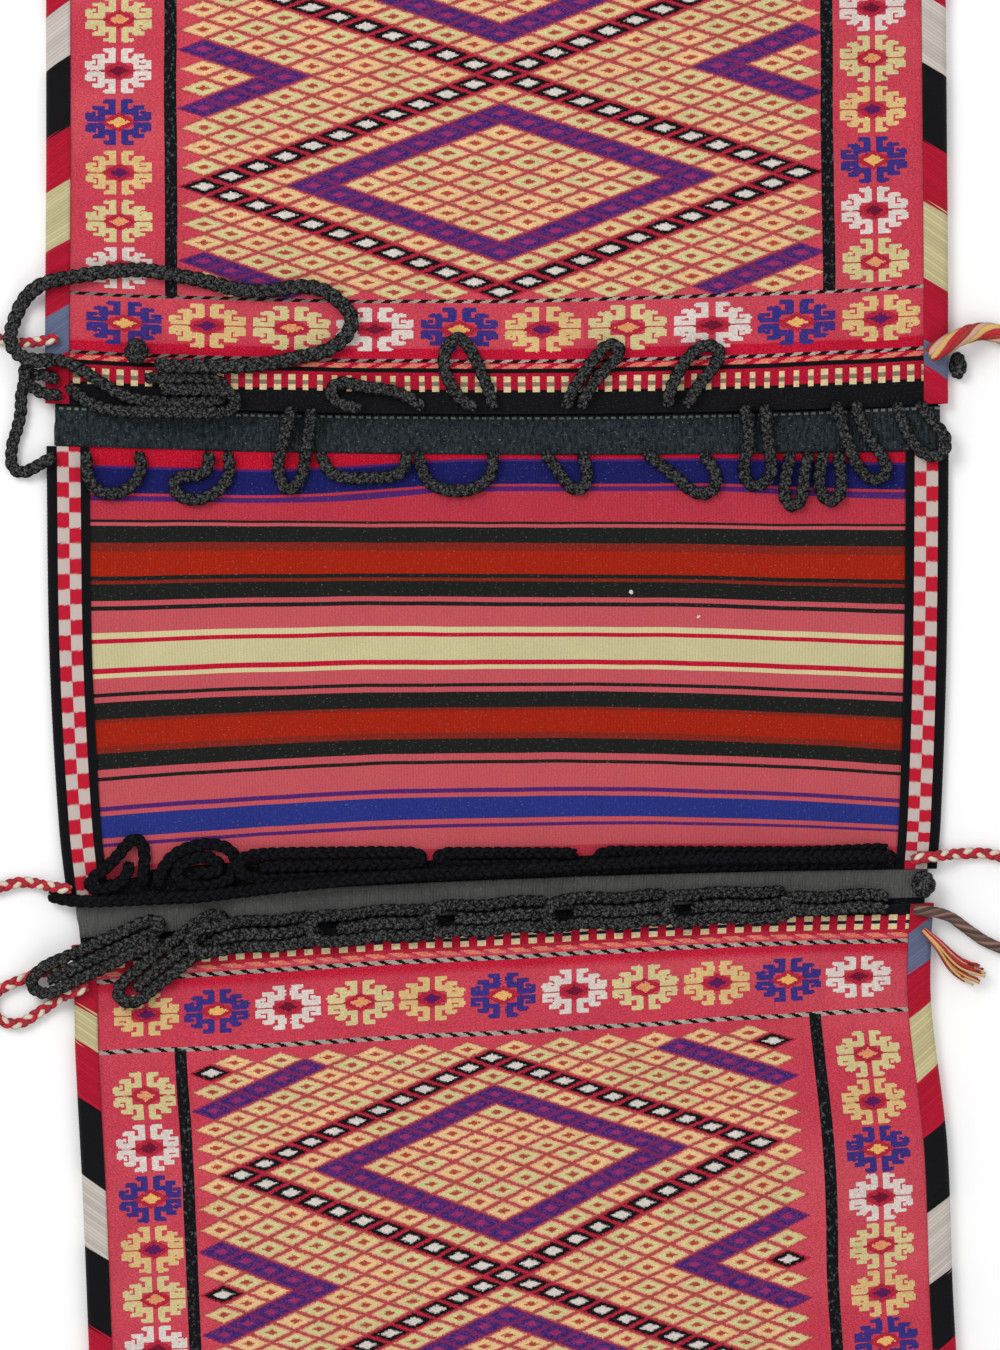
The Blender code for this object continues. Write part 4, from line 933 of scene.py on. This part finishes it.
# Cords: their make, and each one's route from above in millimetres from the bridge's middle
cordPlan = {
    "braid": 0.0068,
    "thickness": {"long_cord": 0.0080, "cord_upper_right": 0.0120, "cord_lower_right": 0.0072,
                  "plait_upper_left": 0.0060, "cord_lower_left": 0.0060, "plait_lower_left": 0.0060,
                  "plait_lower_right": 0.0060},
    "step": 0.0013, "routeStep": 0.002, "slope": 0.8, "air": 0.0008, "sides": 8, "plaitTurn": 2.6,
    "twistTurn": 5.0, "twistReach": 0.30, "twistStrand": 0.165, "reach": 0.31, "strand": 0.27, "lift": 0.15,
}
routes = {
    "long_cord": [(-267, 184), (-282, 185), (-291, 192), (-293, 201), (-290, 212), (-284, 223), (-272, 231),
        (-254, 235), (-234, 238), (-215, 239), (-196, 236), (-176, 232), (-157, 227), (-137, 226),
        (-119, 229), (-104, 226), (-94, 218), (-88, 210), (-91, 200), (-102, 191), (-118, 187), (-137, 183),
        (-157, 181), (-176, 181), (-194, 181), (-206, 183)],
    "side_loop": [(-264, 173), (-275, 177), (-284, 174), (-287, 164), (-287, 155), (-289, 145), (-292, 136),
        (-293, 127), (-292, 120), (-286, 118), (-277, 122), (-266, 128)],
    "pile_run": [(-262, 164), (-275, 166), (-285, 175), (-280, 184), (-266, 185.5), (-253, 181),
        (-241, 173.5), (-229, 166), (-215, 161), (-198, 159.5), (-182, 159.5), (-170, 160.5), (-163.5, 164),
        (-164, 170), (-171, 173.5), (-184, 174.3), (-200, 174.3), (-212, 174.5)],
    "pile_loop": [(-258, 170), (-250, 162.5), (-238, 156.5), (-222, 154.3), (-200, 153.5), (-180, 153.3),
        (-166, 153.5), (-158, 156.5), (-157, 162), (-163, 166.3), (-176, 167), (-190, 167), (-202, 167.3)],
    "front_loop_1": [(-46, 156), (-53, 162), (-66, 167), (-82, 169), (-95, 172), (-102, 166), (-96, 159),
        (-83, 156)],
    "front_loop_2": [(-14, 156), (-23, 161), (-31, 173), (-34, 185), (-30, 195), (-24, 199), (-17, 190),
        (-11, 177), (-6, 165), (-4, 156)],
    "front_loop_3": [(39, 156), (43, 166), (50, 177), (58, 188), (64, 194), (70.5, 194), (71.5, 188.5),
        (65.5, 182), (56.5, 172), (50.5, 162), (48, 156)],
    "front_loop_4": [(100, 157), (102, 168), (109, 182), (118, 192), (127, 194), (132, 188), (126, 179),
        (118, 169), (111, 157)],
    "bridge_loop_01": [(-216, 130.5), (-215, 118), (-222, 109), (-233, 105), (-243, 109), (-247, 118),
        (-247, 130.5)],
    "bridge_loop_02": [(-163, 130.5), (-162, 117), (-168, 108), (-179, 102), (-190, 103), (-196, 109),
        (-192, 116), (-182, 116), (-175, 120), (-174, 130.5)],
    "bridge_loop_03": [(-124, 157), (-130, 136), (-133, 120), (-127, 107), (-119, 115), (-116, 132),
        (-112, 156)],
    "bridge_loop_04": [(-108, 130.5), (-102, 118), (-92, 115), (-77, 115), (-64, 116), (-57, 120),
        (-56, 130.5)],
    "bridge_loop_05": [(-49, 130.5), (-45, 115), (-37, 109), (-24, 107), (-12, 110), (-5, 118),
        (-4, 130.5)],
    "bridge_loop_06": [(26, 130.5), (34, 120), (39, 113), (45, 107), (52, 111), (52, 119), (49, 130.5)],
    "bridge_loop_07": [(86, 130.5), (100, 120), (108, 113), (115, 107), (124, 105), (130, 112), (128, 120),
        (121, 130.5)],
    "bridge_loop_08": [(146, 158), (149, 138), (146, 123), (147, 113), (154, 110), (163, 117), (161, 131),
        (158, 158)],
    "bridge_loop_09": [(174, 130.5), (171, 114), (170, 104), (175, 97), (181, 103), (182, 115),
        (185, 130.5)],
    "bridge_loop_10": [(194, 130.5), (191, 116), (192, 106), (198, 100), (204, 106), (204, 117),
        (202, 130.5)],
    "bridge_loop_11": [(200, 160), (206, 142), (211, 128), (217, 118), (225, 113), (232, 119), (228, 129),
        (219, 141), (212, 160)],
    "bridge_loop_12": [(237, 160), (242, 144), (248, 134), (258, 127), (266, 131), (266, 140), (259, 148),
        (250, 160)],
    "hump_loop_1": [(-214, -129), (-213, -117), (-213, -106), (-218, -100.5), (-224, -105), (-230, -113),
        (-239, -121), (-246, -127), (-244, -131.5), (-234, -130.5), (-224, -124.5), (-221.5, -115)],
    "hump_loop_2": [(-206, -130), (-202, -119), (-194, -110), (-182, -105), (-169, -104.5), (-160, -109),
        (-158, -117), (-162, -125), (-172, -129.5), (-184, -129.5), (-193, -126), (-193, -118.5),
        (-185, -113), (-174, -112), (-167, -117), (-172, -121.5), (-183, -120.5)],
    "roll_loop_1": [(-44, -123), (-62, -123.6), (-90, -124), (-120, -124.8), (-140, -125.6), (-153, -123),
        (-157, -117), (-152, -111.5), (-138, -110), (-114, -109.6), (-84, -109.2), (-60, -109.2),
        (-49, -110), (-45.5, -113), (-49, -116), (-62, -116.4), (-90, -116.8), (-120, -117.3),
        (-144, -118)],
    "roll_loop_2": [(36, -116.5), (6, -117), (-24, -117.2), (-34, -116.8), (-39, -113.3), (-34, -109.8),
        (-22, -109.6), (6, -109.6), (34, -109.8), (46, -110)],
    "roll_loop_3": [(228, -115), (180, -116), (132, -117), (84, -118), (64, -119), (56, -114), (64, -109),
        (84, -109), (132, -109), (180, -109), (210, -108), (232, -107)],
    "roll_run": [(-270, -135), (-255, -138), (-234, -138), (-210, -137), (-180, -135.5), (-150, -132),
        (-120, -128.5), (-90, -125.5), (-60, -123), (-20, -120.5), (30, -118), (80, -115), (120, -113),
        (180, -112), (236, -111)],
    "big_loop_1": [(-203, -161), (-221, -170), (-239, -179), (-257, -187), (-268, -193), (-277, -193),
        (-281, -187), (-275, -179), (-263, -173), (-245, -165), (-228, -157.5), (-214, -151),
        (-205, -149.5), (-202, -153.5), (-208, -157.5), (-220, -162.5), (-237, -170), (-251, -176),
        (-264, -183), (-270, -186)],
    "big_loop_2": [(-166, -158.5), (-181, -170), (-195, -181), (-208, -191), (-216, -198), (-224, -199),
        (-229, -193), (-225, -186), (-217, -179), (-205, -169), (-194, -161), (-182, -151.5),
        (-173, -146.5), (-166, -146.5), (-164.5, -151.5), (-171, -154), (-180, -160), (-197, -173),
        (-206, -180), (-213, -186), (-218.5, -191)],
    "plait_upper_left": [(-264, 198), (-279, 196), (-290, 196), (-299, 198), (-312, 202), (-326, 199),
        (-336, 194)],
    "cord_upper_right": [(256, 188), (268, 195), (280, 201), (291, 203), (302, 200), (316, 194), (330, 192),
        (344, 194)],
    "cord_lower_left": [(-256, -131), (-272, -129), (-286, -127), (-299, -130), (-312, -134), (-325, -135),
        (-336, -131)],
    "plait_lower_left": [(-246, -189), (-263, -196), (-276, -205), (-288, -212), (-300, -210), (-305, -202),
        (-302, -193), (-290, -187), (-277, -182), (-258, -176)],
    "plait_lower_right": [(246, -113.5), (264, -111), (278, -110), (292, -110), (305, -113), (318, -116),
        (332, -115)],
    "cord_lower_right": [(247, -143), (266, -146), (277, -153), (288, -161), (301, -167), (316, -169),
        (331, -167)],
}
chain = {"links": 6, "left": (-185.0, -161.0), "right": (238.0, -138.0), "sag": 4.0, "reach": 1.12,
         "run": 7.4, "wave": 0.9, "stray": 6.5}


def chainRoute(link):
    # a loop folded in three runs; its round end lies over the one before
    left, right = chain["left"], chain["right"]
    pitch = (right[0] - left[0]) / chain["links"]
    start = left[0] + pitch * link
    last = link == chain["links"] - 1
    end = right[0] if last else start + chain["reach"] * pitch
    outer = 0.5 if last else 1.0

    def row(x, run):
        share = (x - left[0]) / (right[0] - left[0])
        middle = left[1] + (right[1] - left[1]) * share
        middle += chain["sag"] * math.sin(math.pi * share) + chain["wave"] * math.sin(x / chain["stray"])
        return x, middle + run * chain["run"]

    body = [start + 6 + (end - start - 12) * k / 6 for k in range(7)]
    route = [row(x, outer) for x in reversed(body)] + [row(start, 0)] + [row(x, -outer) for x in body]
    if last:
        return route
    return route + [row(end - 1, -0.5)] + [row(x, 0) for x in reversed(body[1:])]


def smoothRoute(route):
    # points along a smooth curve through a route's own points, in metres
    points = [Vector((x / 1000 - bag["middle"][0], y / 1000 - bag["middle"][1])) for x, y in route]
    points = [2 * points[0] - points[1]] + points + [2 * points[-1] - points[-2]]
    fine = []
    for a, b, c, d in zip(points, points[1:], points[2:], points[3:]):
        for k in range(12):
            u = k / 12
            spot = 2 * b + (c - a) * u + (2 * a - 5 * b + 4 * c - d) * u**2 + (3 * b - a - 3 * c + d) * u**3
            fine.append(spot / 2)
    fine.append(points[-2])
    even, run = [fine[0]], 0.0
    for a, b in zip(fine, fine[1:]):
        run += (b - a).length
        if run >= cordPlan["routeStep"]:
            even.append(b)
            run = 0.0
    even[-1] = fine[-1]
    return even


def restHeights(flat, radius, laid):
    # heights of a cord's middle where it lies on the bag, the floor and the cords before it
    heights = []
    for spot in flat:
        top = ground(spot.x, spot.y)
        for k in range(12):
            turned = math.pi * k / 6
            top = max(top, ground(spot.x + radius * math.cos(turned), spot.y + radius * math.sin(turned)))
        height = top + radius + cordPlan["air"]
        for x, y, z, other in laid:
            apart = (radius + other + cordPlan["air"]) ** 2 - (spot.x - x) ** 2 - (spot.y - y) ** 2
            if apart > 0:
                height = max(height, z + math.sqrt(apart))
        heights.append(height)
    for order in (range(1, len(flat)), range(len(flat) - 2, -1, -1)):
        for i in order:
            near = i - 1 if order.step > 0 else i + 1
            heights[i] = max(heights[i], heights[near] - cordPlan["slope"] * (flat[i] - flat[near]).length)
    return heights


def evenLine(line, step):
    # a smoothed line read again at even steps
    for _ in range(3):
        line = [line[0]] + [(a + 2 * b + c) / 4 for a, b, c in zip(line, line[1:], line[2:])] + [line[-1]]
    total = sum((b - a).length for a, b in zip(line, line[1:]))
    count = max(8, round(total / step))
    points, target, run, k = [line[0]], total / count, 0.0, 0
    while len(points) < count:
        piece = (line[k + 1] - line[k]).length
        if run + piece >= target * len(points):
            points.append(line[k].lerp(line[k + 1], (target * len(points) - run) / piece))
        else:
            run += piece
            k += 1
    return points + [line[-1]], total


def strandTube(points, widths, sides, heights, index, total):
    # a tube along the points; every vertex keeps its strand and, after the point, how high it lies
    # in the cord, how far along it is, and its angle, which set the painted light on the strand tops
    rings, weave = [], []
    up = Vector((0, 0, 1))
    for k, spot in enumerate(points):
        ahead = (points[min(k + 1, len(points) - 1)] - points[max(k - 1, 0)]).normalized()
        aside = ahead.cross(up)
        aside = aside.normalized() if aside.length > 0.1 else Vector((1, 0, 0))
        over = aside.cross(ahead)
        for j in range(sides):
            turned = 2 * math.pi * j / sides
            rings.append(spot + (aside * math.cos(turned) + over * math.sin(turned)) * widths[k])
            weave.append((index + 0.8 * heights[k], total * k / (len(points) - 1), j / sides))
    faces = []
    for k in range(len(points) - 1):
        for j in range(sides):
            a, b = k * sides + j, k * sides + (j + 1) % sides
            faces.append((a, a + sides, b + sides, b))
    faces.append(tuple(range(sides)))
    faces.append(tuple((len(points) - 1) * sides + j for j in reversed(range(sides))))
    return rings, faces, weave


def addStrands(name, tubes):
    points, faces, weave = [], [], []
    for rings, sides, marks in tubes:
        faces += [tuple(i + len(points) for i in face) for face in sides]
        points += rings
        weave += marks
    mesh = bpy.data.meshes.new(name)
    mesh.from_pydata(points, [], faces)
    marks = [number for mark in weave for number in mark]
    mesh.attributes.new("weave", "FLOAT_VECTOR", "POINT").data.foreach_set("vector", marks)
    piece = bpy.data.objects.new(name, mesh)
    bpy.context.scene.collection.objects.link(piece)
    return piece


def braidTubes(centre, total, diameter, twisted):
    # three strands that pass over and under each other, or four twisted ones
    strands = 8 if twisted else 3
    thick = cordPlan["twistStrand"] if twisted else cordPlan["strand"]
    turn = diameter * (cordPlan["twistTurn"] if twisted else cordPlan["plaitTurn"])
    tubes = []
    up = Vector((0, 0, 1))
    for k in range(strands):
        points, widths, heights = [], [], []
        for i, spot in enumerate(centre):
            ahead = (centre[min(i + 1, len(centre) - 1)] - centre[max(i - 1, 0)]).normalized()
            aside = ahead.cross(up).normalized()
            over = aside.cross(ahead)
            along = total * i / (len(centre) - 1)
            phase = 2 * math.pi * (along / turn + k / strands)
            if twisted:
                loose = 1.0 + 0.16 * noise.noise(Vector((along * 60, k * 3.1, 2.0)))
                offset = aside * math.cos(phase) + over * math.sin(phase)
                offset *= diameter * cordPlan["twistReach"] * loose
                heights.append(0.5 + 0.5 * math.sin(phase))
            else:
                offset = aside * math.sin(phase) * diameter * cordPlan["reach"]
                offset += over * math.sin(2 * phase) * diameter * cordPlan["lift"]
                heights.append(0.5 + 0.5 * math.sin(2 * phase))
            ends = min(1.0, 0.45 + min(i, len(centre) - 1 - i) / 4)
            uneven = 1.0 + 0.10 * noise.noise(Vector((along * 90, k * 7.3, diameter * 999 + total * 50)))
            uneven += 0.08 * (heights[-1] - 0.5)
            points.append(spot + offset)
            widths.append(diameter * thick * ends * uneven)
        tubes.append(strandTube(points, widths, cordPlan["sides"], heights, float(k % 4), total))
    return tubes


def cordFinish(name, dyes, flecks=0.0, fleckAndHighlightDye=None, sheen=0.05):
    # wool by strand, with fibres along it
    material, wire, shader = newFinish(name, 0.9, sheen)
    _, strandHeight, along, around = weaveParts(wire)
    strand = strandHeight.floor()
    stops = [(k / len(dyes), dye(*one)) for k, one in enumerate(dyes)]
    colour = ((strand + 0.5) / float(len(dyes))).ramp(stops)
    position = wire.node("TexCoord", None, out=3)
    # painted light and shade: the strand tops that lie high and face up are painted lighter and take the grey
    # flecks, partly real fibre and partly painted highlight; the crossings are painted dark
    facing = 1.0 - abs(around - 0.25) * 3.4
    paintedCrestLight = ((strandHeight - strand) * 0.75 + facing * 0.55).ease(0.25, 1.05)
    if flecks:
        spots = position.speckle(760.0, 2.0, 0.7).ease(0.42, 0.64) * flecks * paintedCrestLight
        colour = spots.over(colour, dye(*fleckAndHighlightDye))
    colour = woolliness(position, (paintedCrestLight * 0.5 + 0.58).shade(colour), 0.42)
    twist = (along * 420.0 + around * 2.0) % 1.0 - 0.5
    finishWith(wire, shader, colour, abs(twist) * 0.8 + position.speckle(1500.0) * 0.5, 0.0003)
    return material


# The braids' grey flecks show only on the painted-light tops of their strands: partly grey fibre, partly
# painted highlight
blackBraid = cordFinish("blackBraid", [(11, 11, 13), (16, 16, 18), (8, 8, 10)], 0.72, (92, 94, 92), 0.0)
darkBraid = cordFinish("darkBraid", [(5, 5, 8), (7, 7, 10), (4, 4, 6)], 0.5, (32, 34, 40), 0.0)
redWhitePlait = cordFinish("redWhitePlait", [(178, 38, 52), (206, 190, 172), (150, 46, 54)])
strawCord = cordFinish("strawCord", [(176, 44, 54), (206, 168, 104), (196, 158, 136), (156, 54, 46)])
brownCord = cordFinish("brownCord", [(108, 88, 80), (78, 62, 56), (136, 104, 94), (90, 70, 64)])
colouredCords = {"cord_upper_right": (strawCord, "straw_cord"), "cord_lower_right": (brownCord, "brown_cord")}
for node in ("plait_upper_left", "cord_lower_left", "plait_lower_left", "plait_lower_right"):
    colouredCords[node] = (redWhitePlait, "red_white_plait")
# These run out of the photograph
leaving = ("plait_upper_left", "cord_upper_right", "cord_lower_left", "plait_lower_right", "cord_lower_right")
laid = []
cordEnds = {}


def addCord(node, route):
    diameter = cordPlan["thickness"].get(node, cordPlan["braid"])
    flat = smoothRoute(route)
    heights = restHeights(flat, diameter / 2, laid)
    laid.extend((p.x, p.y, z, diameter / 2) for p, z in zip(flat, heights))
    centre, total = evenLine([Vector((p.x, p.y, z)) for p, z in zip(flat, heights)], cordPlan["step"])
    plain = darkBraid if node.startswith(("roll", "hump")) else blackBraid
    material, slot = colouredCords.get(node, (plain, "black_braid"))
    tubes = braidTubes(centre, total, diameter, material in (strawCord, brownCord))
    piece = addStrands(pieceName(node), tubes)
    finishPiece(piece, material, slot, node)
    cordEnds[node] = (piece, centre, total, diameter)


late = ("pile_loop", "big_loop_1", "long_cord")
for node in [name for name in routes if name not in late] + list(late):
    addCord(node, routes[node])
    if node == "big_loop_2":
        for link in range(chain["links"]):
            addCord(f"chain_loop_{link + 1}", chainRoute(link))
print("cords laid:", len(cordEnds))

# Knots and the tuft: a few turns of braid drawn tight; the tassel: loose strands
knots = {
    "knot_upper_left": ((-0.2150, 0.1860), (0.0075, 0.0080, 0.0070)),
    "tuft_upper_right": ((bag["halfWidth"] + 0.0055 + bag["fit"], 0.1740), (0.0055, 0.0085, 0.0045)),
    "knot_lower_right": ((bag["halfWidth"] - 0.0085, -0.1365), (0.0075, 0.0085, 0.0055)),
}
# The knots' and the tassel's strands all get one fixed height, which sets their painted light
knotTurns = {"turns": 5, "steps": 34, "strand": 0.36, "height": 0.8, "wave": 0.35, "run": 0.04}


def addKnot(node, place, half):
    x, y = lay(*place)
    middle = Vector((x, y, ground(x, y) + bag["fit"] + half[2]))
    tubes = []
    strand = knotTurns["strand"] * min(half)
    for k in range(knotTurns["turns"]):
        tilt = math.pi * k / knotTurns["turns"]
        points = []
        for i in range(knotTurns["steps"] + 1):
            turned = 2 * math.pi * i / knotTurns["steps"]
            level = Vector((math.cos(tilt), math.sin(tilt), 0))
            ring = level * math.cos(turned) + Vector((0, 0, math.sin(turned)))
            ring += Vector((-level.y, level.x, 0)) * knotTurns["wave"] * math.sin(2 * turned + k)
            ring = ring.normalized()
            points.append(middle + Vector([(h - strand) * c for h, c in zip(half, ring)]))
        even = [knotTurns["height"]] * len(points)
        tubes.append(strandTube(points, [strand] * len(points), 8, even, float(k % 3), knotTurns["run"]))
    piece = addStrands(pieceName(node), tubes)
    finishPiece(piece, blackBraid, "black_braid", node)
    return piece


knotPieces = {node: addKnot(node, place, half) for node, (place, half) in knots.items()}

tassel = {"route": [(253, -155), (263, -165), (275, -178), (290, -184)], "radius": 0.0050, "strands": 40,
          "strand": 0.0008, "splay": 0.0055, "tied": 0.45, "step": 0.0016, "shortest": 0.62}


def addTassel(node):
    flat = smoothRoute(tassel["route"])
    heights = restHeights(flat, tassel["radius"], laid)
    last = len(flat) - 1
    line = []
    for i, (p, z) in enumerate(zip(flat, heights)):
        share = tassel["tied"] + (1.0 - tassel["tied"]) * i / last
        line.append(Vector((p.x, p.y, z - tassel["radius"] * (1.0 - share))))
    centre, total = evenLine(line, tassel["step"])
    rng = random.Random(5)
    tubes = []
    for k in range(tassel["strands"]):
        angle, reach = rng.uniform(0, 2 * math.pi), math.sqrt(rng.uniform(0.05, 1.0))
        bend = rng.uniform(-1, 1)
        points = []
        for i, spot in enumerate(centre):
            share = i / (len(centre) - 1)
            ahead = (centre[min(i + 1, len(centre) - 1)] - centre[max(i - 1, 0)]).normalized()
            aside = ahead.cross(Vector((0, 0, 1))).normalized()
            opened = tassel["tied"] + (1.0 - tassel["tied"]) * share
            full = (tassel["radius"] * opened - tassel["strand"]) * reach
            drift = angle + bend * share
            wide = full * math.cos(drift) * (1.0 + tassel["splay"] / tassel["radius"] * share)
            points.append(spot + aside * wide + Vector((0, 0, full * math.sin(drift))))
        points = points[:round(len(points) * rng.uniform(tassel["shortest"], 1.0))]
        even = [knotTurns["height"]] * len(points)
        tubes.append(strandTube(points, [tassel["strand"]] * len(points), 5, even, float(k % 4), total))
    piece = addStrands(pieceName(node), tubes)
    finishPiece(piece, strawCord, "straw_cord", node)
    return piece


tasselPiece = addTassel("tassel_lower_right")
for node, (piece, centre, total, diameter) in cordEnds.items():
    "knot" if node in leaving else "object"
print("knots and tassel tied")

# Floor, camera and lights
view = {"height": 3.0, "sensor": 24.0, "far": 20.0, "sky": 0.70,
        "lamps": (((-1.3, 1.2, 2.2), 1.2, 32.0), ((1.5, -0.9, 2.4), 2.0, 12.0)),
        "floor": {"size": 12.0, "top": -0.0005, "dye": (0.97, 0.97, 0.97, 1.0)}}

deselectAll()
bpy.ops.mesh.primitive_plane_add(size=view["floor"]["size"], location=(0, 0, view["floor"]["top"]))
floor = bpy.context.object
floor.name = "floor"
floorFinish, _, floorShader = newFinish("paleFloor", 0.9, 0.0)
floorShader.inputs["Base Color"].default_value = view["floor"]["dye"]
floor.data.materials.append(floorFinish)

deselectAll()
above = (-bag["middle"][0], -bag["middle"][1] - photo["bridgeUp"], view["height"])
bpy.ops.object.camera_add(location=above, rotation=(0, 0, 0))
camera = bpy.context.object
camera.data.sensor_fit = "VERTICAL"
camera.data.sensor_height = view["sensor"]
camera.data.lens = view["sensor"] * view["height"] / (photo["height"] * photo["pixel"])
camera.data.clip_end = view["far"]
bpy.context.scene.camera = camera

for spot, size, power in view["lamps"]:
    bpy.ops.object.light_add(type="AREA", location=spot)
    lamp = bpy.context.object
    lamp.data.size = size
    lamp.data.energy = power
    lamp.rotation_euler = (-lamp.location).to_track_quat("-Z", "Y").to_euler()

world = bpy.data.worlds.new("studio")
bpy.context.scene.world = world
world.use_nodes = True
sky = world.node_tree.nodes["Background"]
sky.inputs["Color"].default_value = (1.0, 1.0, 1.0, 1.0)
sky.inputs["Strength"].default_value = view["sky"]
bpy.context.scene.view_settings.view_transform = "Standard"

print("scene ready")
